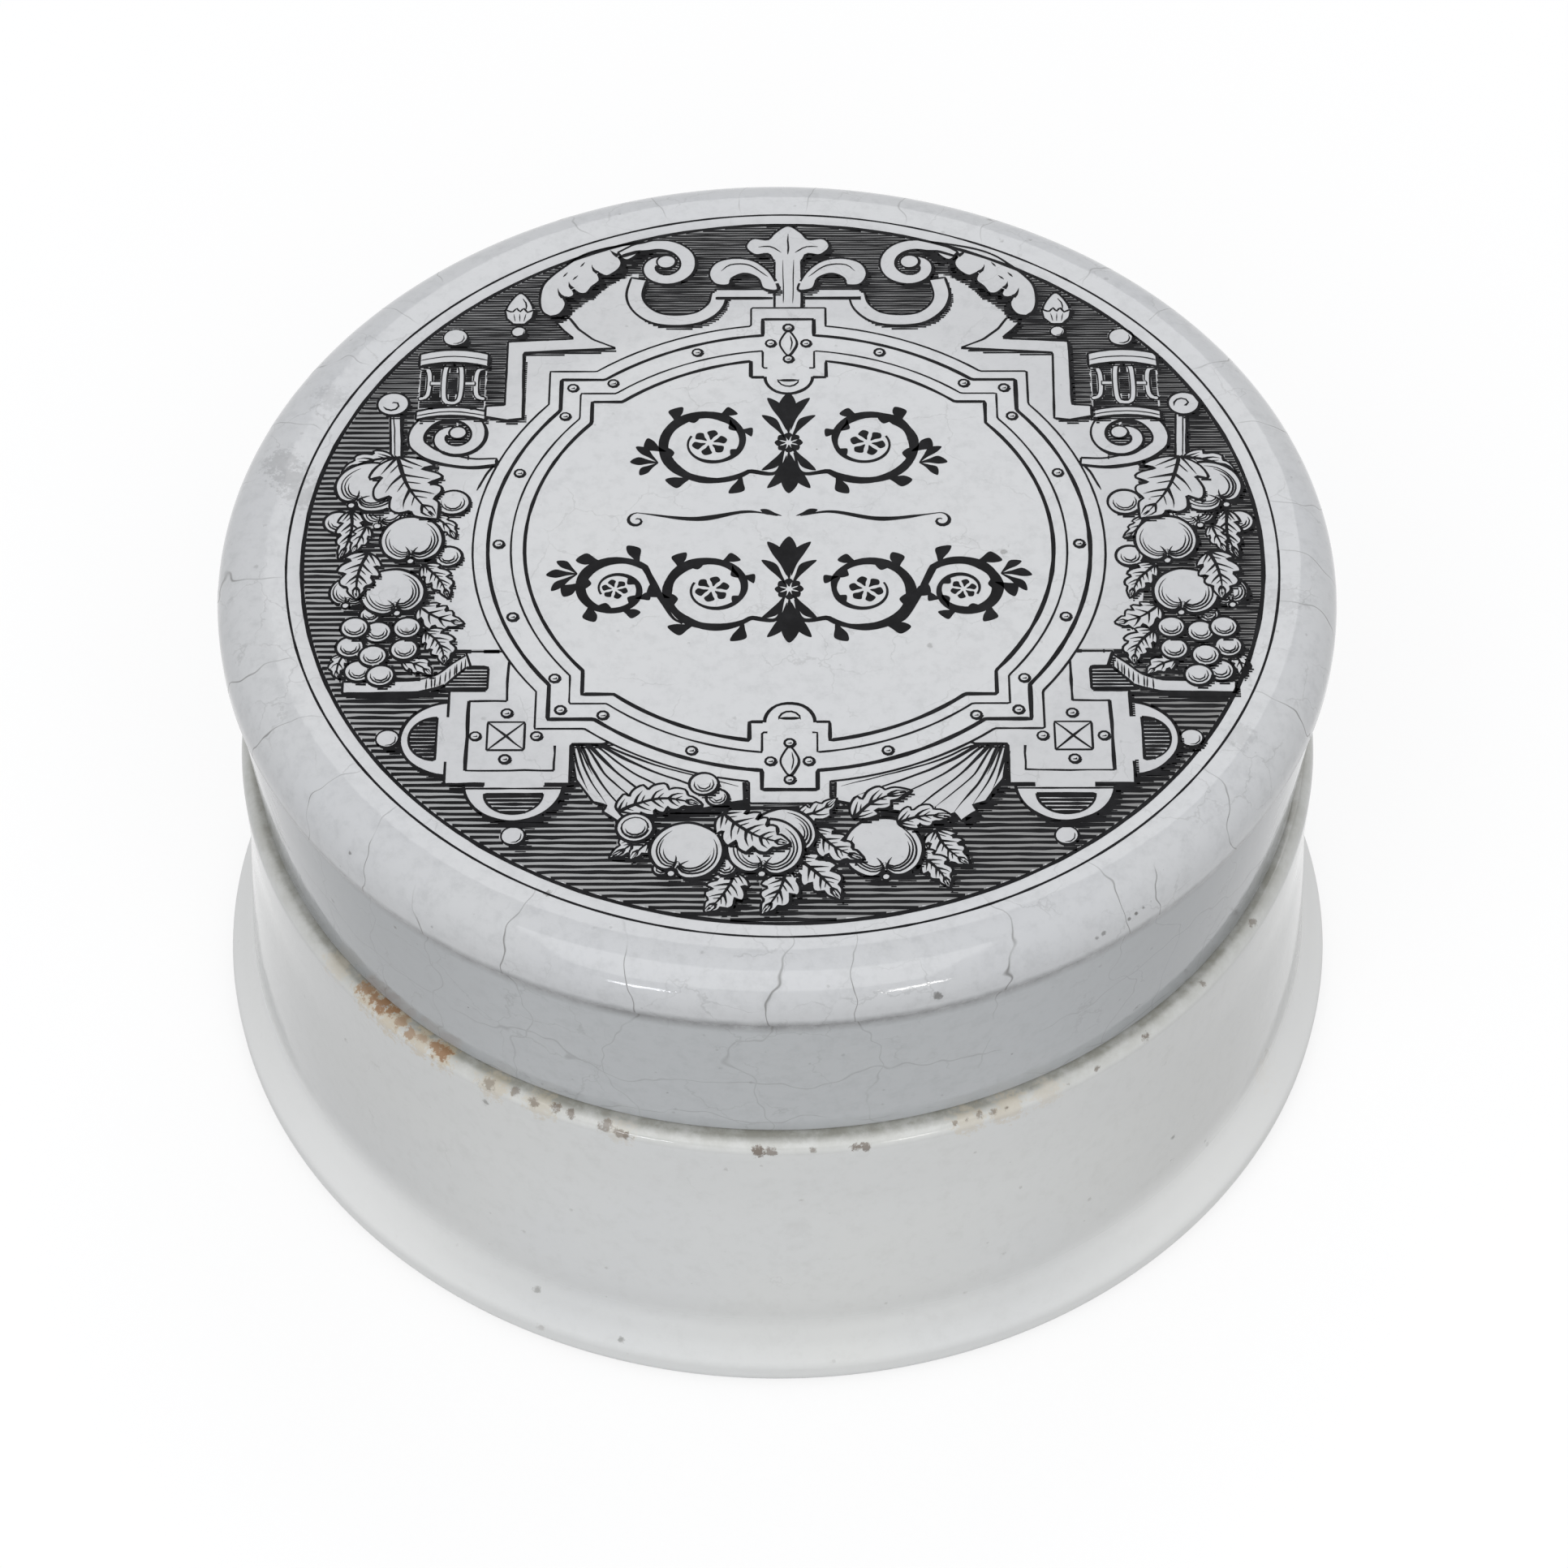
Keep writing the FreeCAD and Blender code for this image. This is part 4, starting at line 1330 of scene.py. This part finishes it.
def lid_glaze():
    """Cool white glaze over earthenware, with a few long hairline cracks, specks and scratches, and painted
    shade on the skirt, its far sides and the crease under the lip.
    """
    material, nodes, shader = start_material("lid_glaze")
    place = millimetres(nodes)
    up, along, reach = unrolled(nodes, place, LID_RADIUS)
    on_rim = nodes.band(reach, 33.8, 35.4)
    on_skirt = nodes.inverse(nodes.band(up, LIP - 1.2, LIP - 0.4))
    radial = nodes.use(HAIRLINES, Vector=place, Across=along, Spacing=7.4, Line_Width=0.1, Wander=11.0,
                       Cover=0.85)
    level = nodes.use(HAIRLINES, Vector=place, Across=up, Spacing=6.6, Line_Width=0.12, Wander=10.0, Cover=0.8)
    fine = nodes.use(CRAZING, Vector=place, Cell_Size=4.5, Line_Width=0.08, Wander=3.0, Cover=0.55)
    at_edge = nodes.math("MULTIPLY_ADD", nodes.band(reach, 36.0, 38.4), 0.5, 0.5)
    radial = nodes.times(radial, on_rim, at_edge, nodes.inverse(nodes.times(on_skirt, 0.65)))
    level = nodes.times(level, on_skirt, 0.38)
    cracks = nodes.math("MAXIMUM", nodes.math("MAXIMUM", radial, level), nodes.times(fine, 0.25))
    specks = nodes.use(SPECKS, Vector=place, Spacing=2.6, Size=0.34, Share=0.4)
    dust = nodes.use(SPECKS, Vector=place, Spacing=1.0, Size=0.22, Share=0.4)
    grime = nodes.use(BLOTCHES, Vector=place, Scale=0.12, Amount=0.3)
    mottle = nodes.band(nodes.noise(place, 0.9, 6.0, 0.7), 0.42, 0.74)
    # Painted shade on the skirt's far left and right.
    painted_skirt_side_shade = nodes.times(on_skirt, beside(nodes, place))
    # Painted shade in the crease under the lip, made patchy by noise.
    below_lip = nodes.inverse(nodes.band(up, LIP - 0.1, LIP + 0.7))
    crease_shade_patches = nodes.band(nodes.noise(place, 0.7, 4.0, 0.7), 0.2, 0.7)
    crease = nodes.times(nodes.times(below_lip, nodes.band(up, LIP - 1.5, LIP - 0.4)),
                         nodes.math("MULTIPLY_ADD", crease_shade_patches, 0.5, 0.45))
    printed = nodes.times(nodes.band(reach, 21.0, 24.5), nodes.band(reach, 34.5, 32.5),
                          nodes.band(up, LID_TOP - 0.2, LID_TOP - 0.1))
    # The skirt, its far sides and the crease under the lip are darkened with painted shade.
    tone = nodes.coat(
        nodes.mix(nodes.noise(place, 0.05, 2.0), COOL_WHITE, CLEAR_WHITE),
        (on_skirt, 0.5, SKIRT_SHADE), (painted_skirt_side_shade, 0.8, SKIRT_SIDE_SHADE), (mottle, 0.26, LID_MOTTLE),
        (grime, 0.1, LID_GRIME), (crease, WHOLE_COAT, CREASE_SHADE), (printed, 0.22, INK_TINGE),
        (cracks, 0.72, CRACK_DIRT), (specks, 0.7, LID_SPECK), (dust, 0.32, LID_DUST),
        (marked(nodes, place, LID_SMUDGES, 1.0), WHOLE_COAT, SMUDGE),
        (marked(nodes, place, LID_SCRATCHES, 0.5), WHOLE_COAT, SCRATCH))
    rough = nodes.math("ADD", 0.08, nodes.times(nodes.math("MAXIMUM", cracks, grime), 0.15))
    skin = nodes.math("SUBTRACT", nodes.noise(place, 0.45, 3.0), nodes.times(cracks, 0.4))
    uneven = bump(nodes, skin, 0.25, 0.0001)
    nodes.fill(shader, {"Base Color": tone, "Roughness": rough, "IOR": GLAZE_IOR, "Normal": uneven})
    return material


SHOULDER_RUST = (
    (-28.1, -25.2, 24.9, 0.75, 0.7), (-27.6, -25.9, 24.9, 0.6, 0.8), (-27.0, -26.5, 24.9, 0.7, 0.85),
    (-26.3, -27.1, 24.9, 0.6, 0.85), (-25.7, -27.9, 24.8, 0.55, 0.6), (-25.1, -28.8, 24.8, 0.5, 0.6),
    (-23.1, -30.2, 24.9, 0.6, 0.8), (-22.6, -30.6, 24.8, 0.55, 0.85), (-24.2, -29.4, 24.9, 0.4, 0.5),
)
SHOULDER_CHIPS = (
    (-19.5, -33.2, 24.7, 0.55, 0.5), (-17.7, -33.9, 24.8, 0.35, 0.6), (-16.4, -34.7, 24.7, 0.4, 0.6),
    (-14.9, -35.2, 24.7, 0.4, 0.7), (-13.8, -35.7, 24.7, 0.35, 0.7), (-11.5, -36.7, 24.6, 0.5, 0.6),
    (-10.6, -37.1, 24.4, 0.45, 0.6), (-10.1, -37.3, 24.3, 0.4, 0.75), (-1.2, -38.6, 24.3, 0.55, 0.85),
    (-0.4, -38.6, 24.3, 0.4, 0.7), (2.4, -38.5, 24.4, 0.25, 0.6), (5.4, -38.3, 24.4, 0.4, 0.8),
    (6.0, -38.2, 24.3, 0.4, 0.75), (12.0, -36.5, 24.7, 0.22, 0.6), (12.8, -36.3, 24.8, 0.26, 0.6),
    (13.6, -35.9, 24.8, 0.3, 0.6), (14.6, -35.6, 24.8, 0.3, 0.6), (15.5, -35.3, 24.7, 0.24, 0.7),
    (16.6, -34.9, 24.8, 0.25, 0.6), (19.8, -33.2, 24.6, 0.2, 0.5), (21.8, -31.9, 24.6, 0.28, 0.7),
    (25.2, -29.1, 24.6, 0.35, 0.75), (29.3, -24.6, 24.8, 0.35, 0.6), (33.0, -19.2, 24.7, 0.4, 0.6),
    (-16.8, -37.7, 2.1, 0.4, 0.5), (36.3, -16.9, 6.4, 0.9, 0.4), (-30.4, -24.2, 17.6, 0.35, 0.4),
)
SHOULDER_HALOES = (
    (-27.8, -25.7, 24.8, 1.5, 0.5), (-26.2, -27.6, 24.8, 1.7, 0.5), (-24.4, -29.4, 24.8, 1.4, 0.45),
    (-22.8, -30.5, 24.7, 1.3, 0.5), (-19.2, -33.2, 24.6, 1.3, 0.35), (-16.0, -35.0, 24.6, 1.3, 0.3),
    (-10.6, -37.0, 24.4, 1.1, 0.2), (12.9, -36.2, 24.6, 1.3, 0.3), (15.6, -35.2, 24.6, 1.4, 0.35),
    (18.4, -34.0, 24.6, 1.2, 0.25), (-30.4, -23.0, 24.8, 1.3, 0.25), (35.9, -17.6, 5.6, 1.6, 0.3),
)


# Painted shade: the grey laid on the wall's far left and right.
BLUISH_WHITE, WARM_WHITE, WALL_SIDE_SHADE = (0.65, 0.664, 0.68), (0.7, 0.705, 0.68), (0.5, 0.505, 0.5)
# The ledge colour is dirt together with painted shade under the lid's rim.
POT_MOTTLE, POT_SMUDGE, LEDGE_DIRT_AND_SHADE = (0.4, 0.4, 0.38), (0.36, 0.36, 0.34), (0.24, 0.235, 0.19)
# Painted highlight: the pale white laid along the shoulder's outer edge.
SHOULDER_HIGHLIGHT, CHIP = (0.86, 0.87, 0.85), (0.12, 0.08, 0.05)
RUST_HALO, RUST = (0.55, 0.44, 0.27), (0.26, 0.125, 0.045)
FINE_DIRT, POT_SPECK = (0.25, 0.24, 0.22), (0.16, 0.155, 0.14)
# Painted light on the foot's roll, and painted shade in the cove above it.
FOOT_ROLL_LIGHT, COVE_SHADE = (0.82, 0.83, 0.825), (0.45, 0.455, 0.45)
# Painted light on the foot at the far left and right; the bare clay is real.
FOOT_SIDE_LIGHT, BARE_CLAY = (0.86, 0.865, 0.855), (0.5, 0.45, 0.37)


def pot_glaze():
    """Warmer white glaze, with rust and chips where the lid's edge rubs, dirt and painted shade on the ledge
    below the neck, a painted highlight on the shoulder, painted shade on the wall's sides and in the cove, and
    painted light on the foot.
    """
    material, nodes, shader = start_material("pot_glaze")
    place = millimetres(nodes)
    up, _, reach = unrolled(nodes, place, FOOT_RADIUS)
    fine = nodes.use(CRAZING, Vector=place, Cell_Size=11.0, Line_Width=0.07, Wander=4.5, Cover=0.25)
    specks = nodes.use(SPECKS, Vector=place, Spacing=3.0, Size=0.42, Share=0.55)
    dust = nodes.use(SPECKS, Vector=place, Spacing=1.2, Size=0.26, Share=0.4)
    smudges = nodes.use(BLOTCHES, Vector=place, Scale=0.3, Amount=0.35)
    mottle = nodes.band(nodes.noise(place, 0.8, 6.0, 0.7), 0.45, 0.74)
    # The pot's far left and right: on the wall they take painted shade, on the foot painted light.
    sides = beside(nodes, place)
    on_wall = nodes.band(up, 5.0, 8.0)
    above = nodes.times(nodes.band(up, LEDGE - 1.1, LEDGE - 0.3), nodes.band(up, LEDGE + 2.2, LEDGE + 0.4))
    under_lid = nodes.times(nodes.band(reach, SKIRT_RADIUS + 1.7, SKIRT_RADIUS + 0.5),
                            nodes.band(reach, NECK_RADIUS - 0.6, NECK_RADIUS - 0.2))
    grain = nodes.band(nodes.noise(place, 0.5, 4.0, 0.7), 0.3, 0.62)
    # Dirt and painted shade on the ledge under the lid's rim.
    ledge_dirt_and_shade = nodes.times(nodes.times(above, under_lid), nodes.math("MULTIPLY_ADD", grain, 0.5, 0.5))
    # Painted highlight along the shoulder's outer edge.
    thick = nodes.times(nodes.band(reach, SHOULDER_RADIUS - 1.0, SHOULDER_RADIUS - 0.5),
                        nodes.band(up, LEDGE - 0.9, LEDGE - 0.45))
    stain = marked(nodes, place, SHOULDER_RUST, 1.3)
    # Painted light on the foot's roll.
    roll = nodes.inverse(nodes.band(up, 1.2, 3.4))
    # Painted shade in the cove above the foot.
    painted_cove_shade = nodes.times(nodes.band(up, 3.2, 4.4), nodes.band(up, 8.5, 5.5))
    # Painted light on the foot at the far left and right.
    painted_foot_side_light = nodes.times(sides, nodes.inverse(on_wall))
    bare = nodes.inverse(nodes.band(up, 0.02, 0.08))
    tone = nodes.coat(
        nodes.mix(nodes.noise(place, 0.045, 2.0), BLUISH_WHITE, WARM_WHITE),
        (nodes.times(sides, on_wall), 0.4, WALL_SIDE_SHADE), (mottle, 0.12, POT_MOTTLE), (smudges, 0.12, POT_SMUDGE),
        (ledge_dirt_and_shade, 0.8, LEDGE_DIRT_AND_SHADE), (thick, 0.32, SHOULDER_HIGHLIGHT),
        (marked(nodes, place, SHOULDER_HALOES, 1.0), WHOLE_COAT, RUST_HALO), (stain, WHOLE_COAT, RUST),
        (marked(nodes, place, SHOULDER_CHIPS, 0.9), WHOLE_COAT, CHIP), (fine, 0.2, FINE_DIRT),
        (specks, 0.65, POT_SPECK), (dust, 0.3, FINE_DIRT), (roll, 0.75, FOOT_ROLL_LIGHT), (painted_cove_shade, 0.2, COVE_SHADE),
        (painted_foot_side_light, 0.75, FOOT_SIDE_LIGHT), (bare, 0.8, BARE_CLAY))
    low_down = nodes.inverse(nodes.band(up, 4.0, 7.0))
    dull = nodes.math("MAXIMUM", nodes.math("MAXIMUM", stain, bare), nodes.times(low_down, 0.9))
    rough = nodes.math("MULTIPLY_ADD", dull, 0.45, 0.1)
    uneven = bump(nodes, nodes.noise(place, 0.35, 3.0), 0.3, 0.00012)
    nodes.fill(shader, {"Base Color": tone, "Roughness": rough, "IOR": GLAZE_IOR, "Normal": uneven})
    return material


DENSE_BLACK, THIN_BLACK = (0.003, 0.003, 0.004), (0.013, 0.013, 0.015)
FILM_LIGHT, FILM_DARK, FILM_BEHIND = (0.33, 0.335, 0.34), (0.2, 0.2, 0.2), (0.13, 0.132, 0.135)


def print_ink():
    """Black transfer print under glaze, greyer where less ink came off the plate."""
    material, nodes, shader = start_material("print_ink")
    worn = nodes.band(nodes.noise(millimetres(nodes), 0.5, 5.0, 0.7), 0.35, 0.75)
    tone = nodes.mix(worn, DENSE_BLACK, THIN_BLACK)
    nodes.fill(shader, {"Base Color": tone, "Roughness": 0.3, "Specular IOR Level": 0.06})
    return material


def print_film():
    """The grey film of ink between the ruled lines, darker to the right and behind."""
    material, nodes, shader = start_material("print_film")
    place = millimetres(nodes)
    x, y, _ = nodes.add("ShaderNodeSeparateXYZ", Vector=place).outputs
    uneven = nodes.times(nodes.noise(place, 0.12, 4.0, 0.6), 16.0)
    right = nodes.band(nodes.math("ADD", x, uneven), -12.0, 38.0)
    behind = nodes.band(nodes.math("MULTIPLY_ADD", uneven, 0.4, y), 6.0, 20.0)
    tone = nodes.coat(nodes.mix(right, FILM_LIGHT, FILM_DARK), (behind, 0.75, FILM_BEHIND))
    nodes.fill(shader, {"Base Color": tone, "Roughness": 0.2, "Specular IOR Level": 0.3})
    return material


# Build

def dress_body(name, profile, spokes, size, seed, material):
    """A turned body in its glaze."""
    piece = lathe(name, profile, spokes, ripple(size, seed))
    piece.data.materials.append(material)
    return piece


pot = dress_body("pot_glazed", pot_profile(), POT_SPOKES, 0.05, 3, pot_glaze())
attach(pot, "pot")
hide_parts("pot")

lid = dress_body("lid_glazed", lid_profile(), LID_SPOKES, 0.04, 4, lid_glaze())
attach(lid, "lid")
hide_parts("lid")

ink = print_ink()
plate, film = draw_print()
engraving = ink_mesh("print_engraving", plate, LID_TOP, PRINT_SHIFT)
engraving.data.materials.append(ink)
border = ink_mesh("print_border", draw_border(), LID_TOP, BORDER_SHIFT)
border.data.materials.append(ink)
haze = ink_mesh("print_film", film, LID_TOP - FILM_DOWN, PRINT_SHIFT)
haze.data.materials.append(print_film())
for piece in (engraving, border, haze):
    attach(piece, "lid")


# Floor, light and camera

FLOOR_GREY, FLOOR_HALF, FLOOR_GLOW = (0.3, 0.3, 0.3), 3.0, 0.72
SKY_COLOUR, SKY_STRENGTH, WHITE = (0.98, 0.985, 1.0), 0.64, (1, 1, 1)
PICTURE_WIDTH, FOCAL_LENGTH, SENSOR_WIDTH = 1932.0, 5723.0, 36.0
CAMERA_ELEVATION, CAMERA_DISTANCE = math.radians(49.26), 354.6
CAMERA_RIGHT, CAMERA_UP = 0.48, 11.25


def seen_rays(nodes):
    """1 for what the camera sees, straight or mirrored or through glass, and 0 for what lights."""
    path = nodes.add("ShaderNodeLightPath").outputs
    mirrored_too = nodes.math("MAXIMUM", path["Is Camera Ray"], path["Is Glossy Ray"])
    return nodes.math("MAXIMUM", mirrored_too, path["Is Transmission Ray"])


def floor():
    """A plain white floor that shows white and keeps the pot's shadow."""
    corners = [(x * FLOOR_HALF, y * FLOOR_HALF, 0) for x, y in ((-1, -1), (1, -1), (1, 1), (-1, 1))]
    plane = new_piece("floor", corners, [(0, 1, 2, 3)])
    material, nodes, shader = start_material("floor_white")
    nodes.fill(shader, {
        "Base Color": FLOOR_GREY, "Roughness": 0.9, "Specular IOR Level": 0.1, "Emission Color": WHITE,
        "Emission Strength": nodes.times(seen_rays(nodes), FLOOR_GLOW)})
    plane.data.materials.append(material)


def lamp(name, place, aim, size, power, colour=WHITE):
    """A rectangular lamp that points at its aim."""
    data = bpy.data.lights.new(name, "AREA")
    data.shape = "RECTANGLE"
    data.size, data.size_y = size
    data.energy = power
    data.color = colour
    light = bpy.data.objects.new(name, data)
    light.location = place
    light.rotation_mode = "QUATERNION"
    light.rotation_quaternion = (Vector(aim) - Vector(place)).to_track_quat("-Z", "Y")
    bpy.context.collection.objects.link(light)


def studio():
    """A white world that lights the pot softly, and four lamps."""
    world = bpy.data.worlds.new("studio")
    world.use_nodes = True
    world.node_tree.nodes.clear()
    nodes = Nodes(world.node_tree)
    soft = nodes.add("ShaderNodeBackground", Color=SKY_COLOUR, Strength=SKY_STRENGTH)
    white = nodes.add("ShaderNodeBackground", Color=WHITE, Strength=1.0)
    mix = nodes.add("ShaderNodeMixShader")
    for socket, value in zip(mix.inputs, (seen_rays(nodes), soft.outputs[0], white.outputs[0])):
        nodes.feed(socket, value)
    nodes.add("ShaderNodeOutputWorld", Surface=mix.outputs[0])
    bpy.context.scene.world = world
    middle = (0, 0, 0.03)
    lamp("softbox", (0.12, 0.76, 0.9), middle, (0.6, 0.5), 1.6)
    lamp("front_soft", (-0.05, -0.6, 0.62), middle, (1.0, 0.7), 3.3)
    lamp("lamp_left", (-0.3, -0.7, 0.08), middle, (0.12, 0.05), 0.28, (0.93, 0.96, 1.0))
    lamp("lamp_right", (0.3, -0.7, 0.08), middle, (0.12, 0.05), 0.28, (1.0, 0.99, 0.94))


def photo_camera():
    """The photo's camera, worked out from the circles of lid, print and foot."""
    above = Vector((0, math.sin(CAMERA_ELEVATION), math.cos(CAMERA_ELEVATION)))
    ahead = Vector((0, math.cos(CAMERA_ELEVATION), -math.sin(CAMERA_ELEVATION)))
    camera = bpy.data.cameras.new("photo_camera")
    camera.sensor_width = SENSOR_WIDTH
    camera.lens = FOCAL_LENGTH / PICTURE_WIDTH * SENSOR_WIDTH
    view = bpy.data.objects.new("photo_camera", camera)
    view.location = (Vector((CAMERA_RIGHT, 0, 0)) + above * CAMERA_UP - ahead * CAMERA_DISTANCE) * MM
    view.rotation_mode = "QUATERNION"
    view.rotation_quaternion = ahead.to_track_quat("-Z", "Y")
    bpy.context.collection.objects.link(view)
    bpy.context.scene.camera = view


floor()
studio()
photo_camera()
bpy.context.scene.view_settings.view_transform = "Standard"
